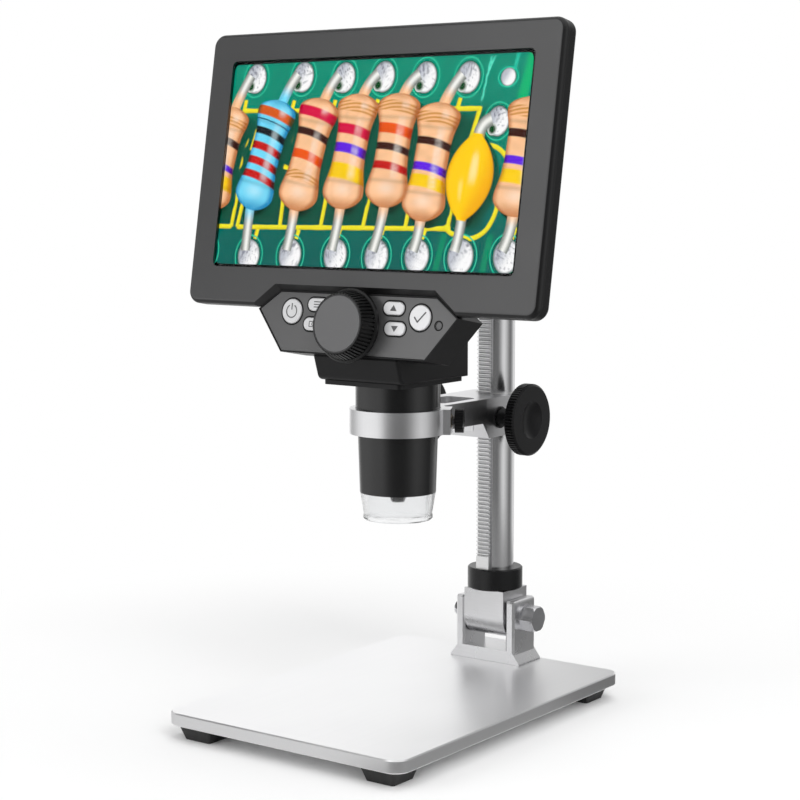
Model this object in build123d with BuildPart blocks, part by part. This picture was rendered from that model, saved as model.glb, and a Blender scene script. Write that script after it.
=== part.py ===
from build123d import *
import math
import os

# A digital microscope with its own display, on an aluminium stand. Millimetres.
# Z = 0 is the table, X = 0 is the plane of symmetry, and +Y runs from the operator to the column.

# ---- Driving dimensions: base ---------------------------------------------------------------
plate_width = 122.0
plate_depth = 170.0
plate_thickness = 5.5
plate_corner = 7.0
plate_edge = 0.5

foot_height = 6.5
foot_top = 18.0
foot_bottom = 13.6
foot_inset_x = 13.5
foot_inset_y = 12.0
foot_screw_r = 1.5
foot_head_r = 2.8
foot_head_height = 2.0
foot_seat = 3.0

# ---- Driving dimensions: tilting clevis and post -------------------------------------------
pivot_y = 74.2
column_y = 73.7
clevis_half_width = 16.0
clevis_gap_half = 11.2
clevis_floor = 6.0
clevis_height = 29.3
clevis_depth = 18.4
clevis_let_in = 0.5
clevis_flare = 2.8
clevis_flare_height = 4.4
clevis_flare_edge = 0.7
clevis_ear_round = 1.4
clevis_ear_bevel = 1.0
clevis_screw_x = 6.0
clevis_screw_r = 2.0
clevis_screw_head_r = 4.0
clevis_screw_bite = 4.4

pivot_height = 20.8
bolt_r = 3.0
bolt_flats = 10.8
bolt_head = 6.4
bolt_tail_r = 2.0
nut_flats = 7.0
nut_height = 5.2
nut_dome = 1.8
washer_r = 6.2
washer_thickness = 1.2
friction_washer_r = 8.0
friction_washer_thickness = 0.4

knuckle_top = 33.4
knuckle_round = 10.0
spigot_height = 10.0

collar_r = 12.7
collar_height = 9.9
collar_screw_r = 2.0
collar_screw_height = 5.0

column_r = 8.5
column_bore_r = 5.4
column_top = 260.0
cap_height = 2.0
cap_plug = 8.0

rack_module = 0.6
rack_width = 6.8
rack_proud = 2.3
rack_let_in = 1.9
rack_plain = 5.7

# ---- Driving dimensions: arm, ring and focusing drive --------------------------------------
barrel_y = -2.6
ring_wall = 2.45
arm_top = 136.4
arm_height = 10.8
arm_root = 14.0
arm_front_half = 12.0
arm_back_half = 13.4
fork_gap_half = 8.0
fork_web = 2.4
fork_round = 3.0
block_height = 17.8
block_slant = 5.5
block_back = 1.9
liner_wall = 0.8

pinion_teeth = 23
pinion_z = 127.2
pinion_half_width = 3.4
shaft_r = 2.5
bush_wall = 1.45
bush_flange = 0.9
bush_flange_thickness = 0.5

knob_r = 16.0
knob_width = 5.0
knob_face = 30.4
knob_hub_r = 4.1
knob_dish_r = 8.3
knob_dish_depth = 2.6
knob_ribs = 72
knob_rib_depth = 0.6

clamp_angle = 30.0
clamp_boss = 2.3
clamp_boss_half = 5.8
clamp_screw_r = 2.1
clamp_head_r = 5.1
clamp_head_length = 3.65
clamp_neck = 1.55
clamp_ribs = 24
clamp_insert_r = 3.2
clamp_insert_length = 3.2

# ---- Driving dimensions: barrel and optics --------------------------------------------------
barrel_r = 18.15
barrel_step_r = 17.2
barrel_foot_r = 16.35
barrel_bore_r = 14.6
barrel_top = 147.5
barrel_step_z = 126.4
barrel_foot_z = 100.2
barrel_spigot_r = 16.4
barrel_spigot = 3.0

hood_top_r = 16.25
hood_foot_r = 14.45
hood_foot_z = 88.5
hood_wall = 1.2
hood_spigot = 3.0
hood_lip = 0.5

led_board_thickness = 1.2
led_count = 8
led_circle_r = 10.0
led_size = 2.8
led_height = 1.2
nose_r = 5.2
nose_tip_r = 2.6
nose_drop = 3.3
nose_bore_r = 1.4

carrier_bottom = 112.0
carrier_height = 16.0
carrier_bore_r = 9.0
carrier_floor = 2.5
lens_thickness = 4.0
lens_sphere_r = 24.0
sensor_thickness = 1.6

# ---- Driving dimensions: display head -------------------------------------------------------
tilt = 9.79
display_y = -25.4
display_z = 240.0
display_width = 180.8
display_height = 118.2
display_drop = 2.0
display_depth = 9.0
display_corner = 5.5
display_wall = 2.2
bezel_depth = 3.2
bezel_lip = 2.0
bezel_round = 2.2

screen_width = 155.4
screen_height = 89.6
screen_corner = 2.5
screen_thickness = 1.4
screen_sunk = 0.3
panel_width = 163.0
panel_height = 96.0
panel_drop = 0.5
panel_thickness = 4.4

hump_width = 150.0
hump_height = 86.0
hump_raise = 3.0
hump_depth = 6.0
hump_taper = 35.0

housing_parting = 11.5
housing_depth = 21.0
housing_wall = 1.8
fascia_sunk = 0.3
fascia_thickness = 1.5
fascia_ledge = 0.8

neck_half_width = 22.0
neck_bottom = 149.4
neck_front = -33.3
neck_front_bottom = -30.0
neck_back = 19.0
neck_front_z = 159.5
neck_shoulder_z = 176.0
neck_roof_drop = 41.0
neck_wall = 2.0
neck_edge = 1.4
neck_plate_margin = 1.7

# ---- Driving dimensions: fine focus and keys ------------------------------------------------
focus_drop = 67.5
focus_sunk = 0.3
focus_flange_r = 15.4
focus_flange = 1.8
focus_body_r = 14.5
focus_front_r = 12.8
focus_face_r = 11.9
focus_height = 8.4
focus_ribs = 52
focus_rib_depth = 0.8
focus_rib_gap = 0.75
focus_module = 0.5
focus_teeth = 16
focus_gear_width = 7.0
focus_bush_r = 4.0
focus_boss_r = 6.0
focus_boss = 6.0
focus_hub_r = 4.0
focus_hub = 4.0
focus_face = 2.5
lens_rack_depth = 4.4
lens_rack_width = 8.0
lens_rack_top = 176.4
lens_rack_teeth = 6

key_proud = 0.6
key_travel = 0.5
key_flange = 0.6
key_flange_thickness = 0.8
key_stem_r = 1.5
key_gap = 0.25
round_key_r = 5.2
pill_key_length = 10.4
pill_key_width = 5.4
switch_size = 4.6
switch_height = 1.5
keypad_thickness = 1.2
indicator_x = 42.4
indicator_drop = 65.2
indicator_r = 1.5

cover_screw_r = 1.1
cover_screw_head_r = 2.2
cover_screw_head = 1.2
boss_r = 2.5
boss_inset = 5.25
plate_boss = 8.0

usb_up = -18.0
usb_width = 9.0
usb_height = 3.2
usb_length = 6.8
card_up = 6.0
card_width = 14.0
card_height = 2.2
card_length = 8.2
socket_depth = 5.9

# ---- Clearances -----------------------------------------------------------------------------
running = 0.06
sliding = 0.1
seam = 0.15
moving = 0.3

# ---- Places worked out from the values above ------------------------------------------------
deck = foot_height + plate_thickness
pivot_z = deck + pivot_height
post_z = deck + knuckle_top
collar_top = post_z + collar_height
knuckle_half_width = clevis_gap_half - friction_washer_thickness - seam
bolt_seat = clevis_half_width + washer_thickness
foot_x = plate_width / 2 - foot_inset_x
foot_y = plate_depth / 2 - foot_inset_y
foot_places = {
    "foot_front_left": (-foot_x, -foot_y),
    "foot_front_right": (foot_x, -foot_y),
    "foot_rear_left": (-foot_x, foot_y),
    "foot_rear_right": (foot_x, foot_y),
}

rack_addendum = rack_module
rack_front = column_r + rack_proud
rack_back = column_r - rack_let_in
rack_pitch = math.pi * rack_module
pinion_pitch_r = rack_module * pinion_teeth / 2
pinion_y = column_y - rack_front + rack_addendum - pinion_pitch_r
pinion_cavity_r = pinion_pitch_r + rack_addendum + 2 * moving
block_bottom = arm_top - block_height
arm_bottom = arm_top - arm_height
block_front = pinion_y - pinion_cavity_r - 2.5
block_round_y = column_y - block_back
liner_r = column_r + sliding + liner_wall
ring_bore_r = barrel_r + sliding
ring_r = ring_bore_r + ring_wall
clamp_z = arm_top - arm_height / 2
clamp_face = ring_r + clamp_boss
knob_back = knob_face - knob_width
bush_outer_r = shaft_r + running + bush_wall
hub_start = arm_back_half + bush_flange_thickness + moving
dish_sphere_r = (knob_dish_r**2 + knob_dish_depth**2) / (2 * knob_dish_depth)

sin_tilt = math.sin(math.radians(tilt))
cos_tilt = math.cos(math.radians(tilt))
lens_clear_r = barrel_bore_r - sliding
focus_pitch_r = focus_module * focus_teeth / 2
focus_addendum = 0.9 * focus_module
focus_y = display_y - focus_drop * sin_tilt
focus_gear_depth = (barrel_y - focus_y) / cos_tilt
fascia_depth = bezel_depth + fascia_sunk
fascia_back = fascia_depth + fascia_thickness
key_board_depth = housing_parting - 0.7
key_switch_depth = key_board_depth - keypad_thickness - switch_height

# Outlines on the display's own face: half width and height of the top, side and bottom corners.
recess_hexagon = ((41.4, -51.4), (54.6, -61.8), (38.3, -80.5))
housing_hexagon = ((40.4, -53.7), (51.7, -62.0), (37.4, -79.8))
fascia_hexagon = ((40.2, -54.4), (50.7, -62.1), (37.1, -79.1))

round_keys = {"power_button": (-33.2, -62.4), "ok_button": (33.2, -62.4)}
pill_keys = {
    "menu_button": (-19.7, -59.1),
    "mode_button": (-21.1, -67.4),
    "up_button": (19.7, -59.1),
    "down_button": (21.1, -67.4),
}

pieces = {}


# ---- Helpers --------------------------------------------------------------------------------
def on_face(depth):
    """The plane parallel to the display's face, depth behind it: X to the right, Y up the face."""
    return Plane(
        origin=(0, display_y + depth * cos_tilt, display_z - depth * sin_tilt),
        x_dir=(1, 0, 0),
        z_dir=(0, -cos_tilt, sin_tilt),
    )


def face_point(up, depth):
    """The (Y, Z) place of a point up the display's face and depth behind it."""
    return (
        display_y + up * sin_tilt + depth * cos_tilt,
        display_z + up * cos_tilt - depth * sin_tilt,
    )


def on_left_side(up, depth, inset=0.3):
    """A plane facing out of the display's left edge: X runs up the face, Y runs backwards."""
    y, z = face_point(up, depth)
    return Plane(
        origin=(-display_width / 2 + inset, y, z),
        x_dir=(0, sin_tilt, cos_tilt),
        z_dir=(-1, 0, 0),
    )


def across(x, y, z):
    """A plane facing +X with its origin on a cross shaft's axis."""
    return Plane(origin=(x, y, z), x_dir=(0, 1, 0), z_dir=(1, 0, 0))


def on_ring(radius):
    """A plane across the ring's radial screw, radius out from the barrel's axis."""
    turn = math.radians(clamp_angle)
    out = (math.cos(turn), math.sin(turn))
    return Plane(
        origin=(radius * out[0], barrel_y + radius * out[1], clamp_z),
        x_dir=(0, 0, 1),
        z_dir=(*out, 0),
    )


def from_below(x, y, z):
    """A plane facing down, for what is drilled or driven upwards."""
    return Plane(origin=(x, y, z), x_dir=(1, 0, 0), z_dir=(0, 0, -1))


def six_corners(hexagon):
    """The six corners of a hexagonal outline that is symmetric about the display's middle."""
    right = list(hexagon)
    left = [(-x, y) for x, y in reversed(right)]
    return right + left


def gear_outline(module, teeth, backlash, addendum):
    """Corner points of an involute spur gear with one tooth centred on the local X axis."""
    pressure = math.radians(20)
    pitch_r = module * teeth / 2
    base_r = pitch_r * math.cos(pressure)
    root_r = pitch_r - 1.25 * module
    tip_r = pitch_r + addendum
    half_tooth = (math.pi * module / 2 - backlash) / 2 / pitch_r + math.tan(pressure) - pressure
    flank = []
    for step in range(5):
        radius = max(base_r, root_r) + (tip_r - max(base_r, root_r)) * step / 4
        roll = math.acos(min(1.0, base_r / radius))
        flank.append((radius, half_tooth - math.tan(roll) + roll))
    flank.insert(0, (root_r, flank[0][1]))
    points = []
    for tooth in range(teeth):
        middle = 2 * math.pi * tooth / teeth
        rising = [(r, middle - a) for r, a in flank]
        falling = [(r, middle + a) for r, a in reversed(flank)]
        points += [(r * math.cos(a), r * math.sin(a)) for r, a in rising + falling]
    return points


def rack_points(module, addendum, backlash, first, last):
    """Tooth corners (height, travel) of a rack with a gap at travel 0, from tooth first to last."""
    lean = math.tan(math.radians(20))
    dedendum = 1.25 * module
    half = (math.pi * module / 2 - backlash) / 2
    points = []
    for tooth in range(first, last + 1):
        middle = (tooth + 0.5) * math.pi * module
        points.append((-dedendum, middle - half - dedendum * lean))
        points.append((addendum, middle - half + addendum * lean))
        points.append((addendum, middle + half - addendum * lean))
        points.append((-dedendum, middle + half + dedendum * lean))
    return points


# ---- Base plate, feet and their screws ------------------------------------------------------
with BuildPart() as base_plate:
    with BuildSketch(Plane.XY.offset(foot_height)):
        RectangleRounded(plate_width, plate_depth, plate_corner)
    extrude(amount=plate_thickness)
    chamfer(base_plate.faces().filter_by(Axis.Z).edges(), plate_edge)
    with BuildSketch(Plane.XY.offset(deck)):
        with Locations((0, pivot_y)):
            Rectangle(2 * (clevis_half_width + clevis_flare + seam), clevis_depth + 2 * seam)
    extrude(amount=-clevis_let_in, mode=Mode.SUBTRACT)
    for x, y in foot_places.values():
        with Locations(from_below(x, y, foot_height)):
            Hole(foot_screw_r, depth=plate_thickness - 1.5)
    for x in (-clevis_screw_x, clevis_screw_x):
        with Locations(from_below(x, pivot_y, foot_height)):
            CounterSinkHole(clevis_screw_r + sliding, clevis_screw_head_r + sliding)
pieces["base_plate"] = base_plate

for name, (x, y) in foot_places.items():
    with BuildPart() as foot:
        with BuildSketch(Plane.XY):
            with Locations((x, y)):
                RectangleRounded(foot_bottom, foot_bottom, 1.2)
        with BuildSketch(Plane.XY.offset(foot_height)):
            with Locations((x, y)):
                RectangleRounded(foot_top, foot_top, 1.6)
        loft()
        with Locations(from_below(x, y, 0)):
            CounterBoreHole(foot_screw_r, foot_head_r + moving, foot_seat)
    pieces[name] = foot

with BuildPart() as foot_screws:
    for x, y in foot_places.values():
        with BuildSketch(Plane.XY.offset(foot_seat)):
            with Locations((x, y)):
                Circle(foot_head_r)
        extrude(amount=-foot_head_height)
        with BuildSketch(Plane.XY.offset(foot_seat)):
            with Locations((x, y)):
                Circle(foot_screw_r)
        extrude(amount=deck - 1.5 - foot_seat)
        with BuildSketch(Plane.XY.offset(foot_seat - foot_head_height)):
            with Locations((x, y)):
                Rectangle(2.6, 0.6)
                Rectangle(0.6, 2.6)
        extrude(amount=1.0, mode=Mode.SUBTRACT)
pieces["foot_screws"] = foot_screws

# ---- Clevis bracket and its screws ----------------------------------------------------------
with BuildPart() as clevis_bracket:
    with BuildSketch(Plane.XZ.offset(-pivot_y)):
        with BuildLine():
            Polyline(
                (-clevis_half_width - clevis_flare, deck - clevis_let_in),
                (clevis_half_width + clevis_flare, deck - clevis_let_in),
                (clevis_half_width + clevis_flare, deck + clevis_flare_edge),
                (clevis_half_width, deck + clevis_flare_height),
                (clevis_half_width, deck + clevis_height),
                (clevis_gap_half, deck + clevis_height),
                (clevis_gap_half, deck + clevis_floor),
                (-clevis_gap_half, deck + clevis_floor),
                (-clevis_gap_half, deck + clevis_height),
                (-clevis_half_width, deck + clevis_height),
                (-clevis_half_width, deck + clevis_flare_height),
                (-clevis_half_width - clevis_flare, deck + clevis_flare_edge),
                close=True,
            )
        ear_tips = make_face().vertices().group_by(Axis.Y)[-1]
        fillet(ear_tips, clevis_ear_round)
    extrude(amount=clevis_depth / 2, both=True)
    ear_ends = clevis_bracket.edges().filter_by(Axis.X).group_by(Axis.Z)[-1]
    chamfer(ear_ends, clevis_ear_bevel)
    with Locations(across(0, pivot_y, pivot_z)):
        Hole(bolt_r + sliding)
    for x in (-clevis_screw_x, clevis_screw_x):
        with Locations(from_below(x, pivot_y, deck - clevis_let_in)):
            Hole(clevis_screw_r, depth=clevis_screw_bite + clevis_let_in)
pieces["clevis_bracket"] = clevis_bracket

with BuildPart() as clevis_screws:
    for x in (-clevis_screw_x, clevis_screw_x):
        with Locations((x, pivot_y, foot_height)):
            Cone(
                clevis_screw_head_r,
                clevis_screw_r,
                clevis_screw_head_r - clevis_screw_r,
                align=(Align.CENTER, Align.CENTER, Align.MIN),
            )
            Cylinder(
                clevis_screw_r,
                plate_thickness + clevis_screw_bite,
                align=(Align.CENTER, Align.CENTER, Align.MIN),
            )
        with BuildSketch(Plane.XY.offset(foot_height)):
            with Locations((x, pivot_y)):
                RegularPolygon(1.4, 6)
        extrude(amount=1.4, mode=Mode.SUBTRACT)
pieces["clevis_screws"] = clevis_screws

# ---- Pivot: bolt, nut and washers -----------------------------------------------------------
with BuildPart() as pivot_bolt:
    with BuildSketch(across(bolt_seat, pivot_y, pivot_z)):
        RegularPolygon(bolt_flats / 2, 6, major_radius=False)
    extrude(amount=bolt_head)
    with BuildSketch(across(bolt_seat + bolt_head, pivot_y, pivot_z)):
        Circle(bolt_flats / 2 + 0.25)
    extrude(amount=-bolt_head, taper=-30, mode=Mode.INTERSECT)
    with BuildSketch(across(bolt_seat, pivot_y, pivot_z)):
        Circle(bolt_r)
    extrude(amount=-2 * bolt_seat)
    with BuildSketch(across(-bolt_seat, pivot_y, pivot_z)):
        Circle(bolt_tail_r)
    extrude(amount=nut_dome - nut_height)
pieces["pivot_bolt"] = pivot_bolt

nut_sphere_r = (nut_flats**2 / 4 + nut_dome**2) / (2 * nut_dome)
with BuildPart() as pivot_nut:
    with BuildSketch(across(-bolt_seat, pivot_y, pivot_z)):
        RegularPolygon(nut_flats / 2, 6, major_radius=False)
    extrude(amount=-nut_height)
    with Locations((-bolt_seat - nut_height + nut_sphere_r, pivot_y, pivot_z)):
        Sphere(nut_sphere_r, mode=Mode.INTERSECT)
    with BuildSketch(across(-bolt_seat, pivot_y, pivot_z)):
        Circle(bolt_tail_r)
    extrude(amount=nut_dome - nut_height, mode=Mode.SUBTRACT)
pieces["pivot_nut"] = pivot_nut

with BuildPart() as pivot_washers:
    for side in (-1, 1):
        with BuildSketch(across(side * clevis_half_width, pivot_y, pivot_z)):
            Circle(washer_r)
            Circle(bolt_r + sliding, mode=Mode.SUBTRACT)
        extrude(amount=side * washer_thickness)
        with BuildSketch(across(side * clevis_gap_half, pivot_y, pivot_z)):
            Circle(friction_washer_r)
            Circle(bolt_r + sliding, mode=Mode.SUBTRACT)
        extrude(amount=-side * friction_washer_thickness)
pieces["pivot_washers"] = pivot_washers

# ---- Knuckle, collar, column and rack -------------------------------------------------------
with BuildPart() as tilt_knuckle:
    with BuildSketch(across(0, pivot_y, pivot_z)):
        Circle(knuckle_round)
        with Locations((0, (knuckle_top - pivot_height) / 2)):
            Rectangle(2 * knuckle_round, knuckle_top - pivot_height)
    extrude(amount=knuckle_half_width, both=True)
    with Locations(across(0, pivot_y, pivot_z)):
        Hole(bolt_r + running)
    with BuildSketch(Plane.XY.offset(post_z)):
        with Locations((0, column_y)):
            Circle(column_bore_r)
    extrude(amount=spigot_height)
pieces["tilt_knuckle"] = tilt_knuckle

with BuildPart() as column_tube:
    with BuildSketch(Plane.XY.offset(post_z)):
        with Locations((0, column_y)):
            Circle(column_r)
            Circle(column_bore_r, mode=Mode.SUBTRACT)
        with Locations((0, column_y - rack_back)):
            Rectangle(rack_width, column_r, align=(Align.CENTER, Align.MAX), mode=Mode.SUBTRACT)
    extrude(amount=column_top - post_z)
    chamfer(column_tube.faces().sort_by(Axis.Z)[-1].edges().filter_by(GeomType.CIRCLE), 0.5)
pieces["column_tube"] = column_tube

# The rack's teeth are counted from the gap that faces the pinion at rest.
first_tooth = math.ceil((collar_top + rack_plain - pinion_z) / rack_pitch)
last_tooth = math.floor((column_top - pinion_z) / rack_pitch) - 2
pitch_line_y = column_y - rack_front + rack_addendum
with BuildPart() as column_rack:
    with BuildSketch(across(0, 0, 0)):
        with BuildLine():
            Polyline(
                (column_y - rack_back, post_z),
                (column_y - rack_front, post_z),
                (column_y - rack_front, pinion_z + (first_tooth - 0.1) * rack_pitch),
                *[
                    (pitch_line_y - height, pinion_z + travel)
                    for height, travel in rack_points(
                        rack_module, rack_addendum, seam, first_tooth, last_tooth
                    )
                ],
                (column_y - rack_front, pinion_z + (last_tooth + 1.1) * rack_pitch),
                (column_y - rack_front, column_top),
                (column_y - rack_back, column_top),
                close=True,
            )
        make_face()
    extrude(amount=rack_width / 2, both=True)
pieces["column_rack"] = column_rack

with BuildPart() as column_collar:
    with BuildSketch(Plane.XY.offset(post_z)):
        with Locations((0, column_y)):
            Circle(collar_r)
            Circle(column_r, mode=Mode.SUBTRACT)
        with Locations((0, column_y)):
            Rectangle(rack_width, rack_front, align=(Align.CENTER, Align.MAX), mode=Mode.SUBTRACT)
    extrude(amount=collar_height)
    rims = column_collar.edges().filter_by(GeomType.CIRCLE).group_by(SortBy.RADIUS)[-1]
    chamfer(rims, 0.6)
    with Locations(Plane(origin=(0, column_y + collar_r, post_z + collar_screw_height), z_dir=(0, 1, 0))):
        Hole(collar_screw_r, depth=collar_r - column_r)
pieces["column_collar"] = column_collar

with BuildPart() as collar_screw:
    with BuildSketch(
        Plane(origin=(0, column_y + column_r, post_z + collar_screw_height), z_dir=(0, 1, 0))
    ):
        Circle(collar_screw_r)
    extrude(amount=collar_r - column_r - 0.6)
    with BuildSketch(collar_screw.faces().sort_by(Axis.Y)[-1]):
        RegularPolygon(1.1, 6)
    extrude(amount=-1.5, mode=Mode.SUBTRACT)
pieces["collar_screw"] = collar_screw

with BuildPart() as column_cap:
    with BuildSketch(Plane.XY.offset(column_top)):
        with Locations((0, column_y)):
            Circle(column_r - sliding)
    extrude(amount=cap_height)
    fillet(column_cap.faces().sort_by(Axis.Z)[-1].edges(), 1.0)
    with BuildSketch(Plane.XY.offset(column_top)):
        with Locations((0, column_y)):
            Circle(column_bore_r - seam)
    extrude(amount=-cap_plug)
pieces["column_cap"] = column_cap

# ---- Arm with its ring and the block that rides on the column -------------------------------
fork_start = barrel_y + ring_r + fork_web
with BuildPart() as arm_carriage:
    with BuildSketch(Plane.XY.offset(block_bottom)):
        with Locations((0, barrel_y)):
            Circle(ring_r)
        with BuildLine():
            Polyline(
                (arm_back_half, block_round_y),
                (arm_back_half, block_front),
                (arm_front_half, arm_root),
                (-arm_front_half, arm_root),
                (-arm_back_half, block_front),
                (-arm_back_half, block_round_y),
            )
            CenterArc((0, block_round_y), arm_back_half, 0, 180)
        make_face()
        with Locations((0, fork_start)):
            Rectangle(
                2 * fork_gap_half,
                block_front - fork_start,
                align=(Align.CENTER, Align.MIN),
                mode=Mode.SUBTRACT,
            )
        with Locations(Location((0, barrel_y), clamp_angle)):
            with Locations(((ring_bore_r + clamp_face) / 2, 0)):
                Rectangle(clamp_face - ring_bore_r, 2 * clamp_boss_half)
            Circle(ring_bore_r, mode=Mode.SUBTRACT)
    extrude(amount=block_height)
    with BuildSketch(across(0, 0, 0)):
        with BuildLine():
            Polyline(
                (barrel_y - 2 * ring_r, arm_bottom),
                (block_front - 3.0, arm_bottom),
                (block_front - 3.0 + block_slant, block_bottom - 1.0),
                (barrel_y - 2 * ring_r, block_bottom - 1.0),
                close=True,
            )
        make_face()
    extrude(amount=2 * ring_r, both=True, mode=Mode.SUBTRACT)
    fork_corners = (
        arm_carriage.edges()
        .filter_by(Axis.Z)
        .filter_by_position(Axis.Y, fork_start - 0.1, block_front + 0.1)
        .filter_by_position(Axis.X, -fork_gap_half - 0.1, fork_gap_half + 0.1)
    )
    fillet(fork_corners, fork_round)
    with Locations((0, column_y, arm_top)):
        Hole(liner_r)
    with BuildSketch(Plane.XY.offset(arm_top)):
        with Locations((0, column_y)):
            Rectangle(
                rack_width + 2 * moving,
                rack_front + moving,
                align=(Align.CENTER, Align.MAX),
            )
    extrude(amount=-block_height, mode=Mode.SUBTRACT)
    with BuildSketch(across(0, pinion_y, pinion_z)):
        Circle(pinion_cavity_r)
        Rectangle(2 * pinion_cavity_r, block_height, align=(Align.CENTER, Align.MAX))
    extrude(amount=pinion_half_width + moving, both=True, mode=Mode.SUBTRACT)
    with Locations(across(0, pinion_y, pinion_z)):
        Hole(bush_outer_r)
    with Locations(on_ring(clamp_face)):
        CounterBoreHole(
            clamp_screw_r + sliding, clamp_insert_r, clamp_insert_length, clamp_face - barrel_step_r
        )
    with Locations(Plane(origin=(0, column_y + collar_r, pinion_z), z_dir=(0, 1, 0))):
        Hole(collar_screw_r, depth=collar_r - liner_r)
pieces["arm_carriage"] = arm_carriage

with BuildPart() as column_liner:
    with BuildSketch(Plane.XY.offset(block_bottom)):
        with Locations((0, column_y)):
            Circle(liner_r)
            Circle(column_r + sliding, mode=Mode.SUBTRACT)
            Rectangle(
                rack_width + 2 * moving,
                2 * liner_r,
                align=(Align.CENTER, Align.MAX),
                mode=Mode.SUBTRACT,
            )
    extrude(amount=block_height)
pieces["column_liner"] = column_liner

with BuildPart() as tension_screw:
    with BuildSketch(Plane(origin=(0, column_y + liner_r, pinion_z), z_dir=(0, 1, 0))):
        Circle(collar_screw_r)
    extrude(amount=block_round_y + arm_back_half - column_y - liner_r - 0.3)
    with BuildSketch(tension_screw.faces().sort_by(Axis.Y)[-1]):
        RegularPolygon(1.1, 6)
    extrude(amount=-0.8, mode=Mode.SUBTRACT)
pieces["tension_screw"] = tension_screw

with BuildPart() as pinion_bushes:
    for side in (-1, 1):
        with BuildSketch(across(side * (pinion_half_width + moving), pinion_y, pinion_z)):
            Circle(bush_outer_r)
            Circle(shaft_r + running, mode=Mode.SUBTRACT)
        extrude(amount=side * (arm_back_half - pinion_half_width - moving))
        with BuildSketch(across(side * arm_back_half, pinion_y, pinion_z)):
            Circle(bush_outer_r + bush_flange)
            Circle(shaft_r + running, mode=Mode.SUBTRACT)
        extrude(amount=side * bush_flange_thickness)
pieces["pinion_bushes"] = pinion_bushes

with BuildPart() as clamp_insert:
    with BuildSketch(on_ring(clamp_face)):
        Circle(clamp_insert_r)
        Circle(clamp_screw_r + running, mode=Mode.SUBTRACT)
    extrude(amount=-clamp_insert_length)
pieces["clamp_insert"] = clamp_insert

# ---- Coarse focusing: pinion shaft and its two hand knobs -----------------------------------
with BuildPart() as pinion_shaft:
    with BuildSketch(across(0, pinion_y, pinion_z)):
        with BuildLine():
            Polyline(*gear_outline(rack_module, pinion_teeth, 0.0, rack_addendum), close=True)
        make_face()
    extrude(amount=pinion_half_width, both=True)
    with BuildSketch(across(0, pinion_y, pinion_z)):
        Circle(shaft_r)
    extrude(amount=knob_face - knob_dish_depth - 1.2, both=True)
pieces["pinion_shaft"] = pinion_shaft

for name, side in (("knob_left", -1), ("knob_right", 1)):
    with BuildPart() as knob:
        with BuildSketch(Plane.XY):
            with BuildLine():
                dish_floor = side * (knob_face - knob_dish_depth)
                Polyline(
                    (dish_floor, 0),
                    (side * hub_start, 0),
                    (side * hub_start, knob_hub_r),
                    (side * knob_back, knob_hub_r),
                    (side * knob_back, knob_r - 1.0),
                    (side * (knob_back + 0.6), knob_r),
                    (side * (knob_face - 0.8), knob_r),
                    (side * knob_face, knob_r - 1.0),
                    (side * knob_face, knob_dish_r),
                )
                CenterArc(
                    (dish_floor + side * dish_sphere_r, 0),
                    dish_sphere_r,
                    180 if side > 0 else 0,
                    -side * math.degrees(math.asin(knob_dish_r / dish_sphere_r)),
                )
            make_face()
        revolve(axis=Axis.X)
        with BuildSketch(across(side * knob_back, 0, 0)):
            with PolarLocations(knob_r, knob_ribs):
                Polygon((-knob_rib_depth, 0), (0.1, 0.4), (0.1, -0.4), align=None)
        extrude(amount=side * knob_width, mode=Mode.SUBTRACT)
        with BuildSketch(across(side * hub_start, 0, 0)):
            Circle(shaft_r)
        extrude(
            amount=side * (knob_face - knob_dish_depth - 1.2 - hub_start),
            mode=Mode.SUBTRACT,
        )
    knob.part = Pos(0, pinion_y, pinion_z) * knob.part
    pieces[name] = knob

# ---- Thumb screw in the ring, which stops the barrel from turning -----------------------------
with BuildPart() as clamp_screw:
    with BuildSketch(on_ring(clamp_face + clamp_neck)):
        Circle(clamp_head_r)
        with PolarLocations(clamp_head_r, clamp_ribs):
            Circle(0.35, mode=Mode.SUBTRACT)
    extrude(amount=clamp_head_length)
    with BuildSketch(on_ring(clamp_face + clamp_neck)):
        Circle(clamp_screw_r)
    extrude(amount=ring_bore_r + sliding - clamp_face - clamp_neck)
pieces["clamp_screw"] = clamp_screw

# ---- Display: bezel, window, panel and rear cover -------------------------------------------
boss_x = display_width / 2 - boss_inset
boss_top = display_height / 2 - display_drop - boss_inset
boss_bottom = boss_inset - display_height / 2 - display_drop
boss_places = [
    (side * x, y)
    for side in (-1, 1)
    for x, y in ((boss_x, boss_top), (boss_x, boss_bottom), (0.75 * boss_x, boss_bottom))
]
with BuildPart() as display_bezel:
    with BuildSketch(on_face(bezel_depth)):
        with Locations((0, -display_drop)):
            RectangleRounded(display_width, display_height, display_corner)
    extrude(amount=bezel_depth)
    fillet(display_bezel.faces().filter_by(on_face(0)).sort_by(Axis.Y)[0].edges(), bezel_round)
    with BuildSketch(on_face(0)):
        RectangleRounded(screen_width, screen_height, screen_corner)
    extrude(amount=-bezel_depth, mode=Mode.SUBTRACT)
    with BuildSketch(on_face(0)):
        Polygon(*six_corners(recess_hexagon), align=None)
    with BuildSketch(on_face(bezel_depth)):
        Polygon(*six_corners(housing_hexagon), align=None)
        offset(amount=seam, kind=Kind.INTERSECTION)
    loft(mode=Mode.SUBTRACT)
    with BuildSketch(on_face(bezel_depth)):
        with Locations((0, -panel_drop)):
            Rectangle(panel_width + 2 * seam, panel_height + 2 * seam)
    extrude(amount=bezel_depth - bezel_lip, mode=Mode.SUBTRACT)
    with BuildSketch(on_face(bezel_depth)):
        with Locations(*boss_places):
            Circle(boss_r)
    extrude(amount=-bezel_depth)
    with BuildSketch(on_face(2 * bezel_depth)):
        with Locations(*boss_places):
            Circle(cover_screw_r)
    extrude(amount=2 * bezel_depth - bezel_lip + 0.4, mode=Mode.SUBTRACT)
pieces["display_bezel"] = display_bezel

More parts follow.
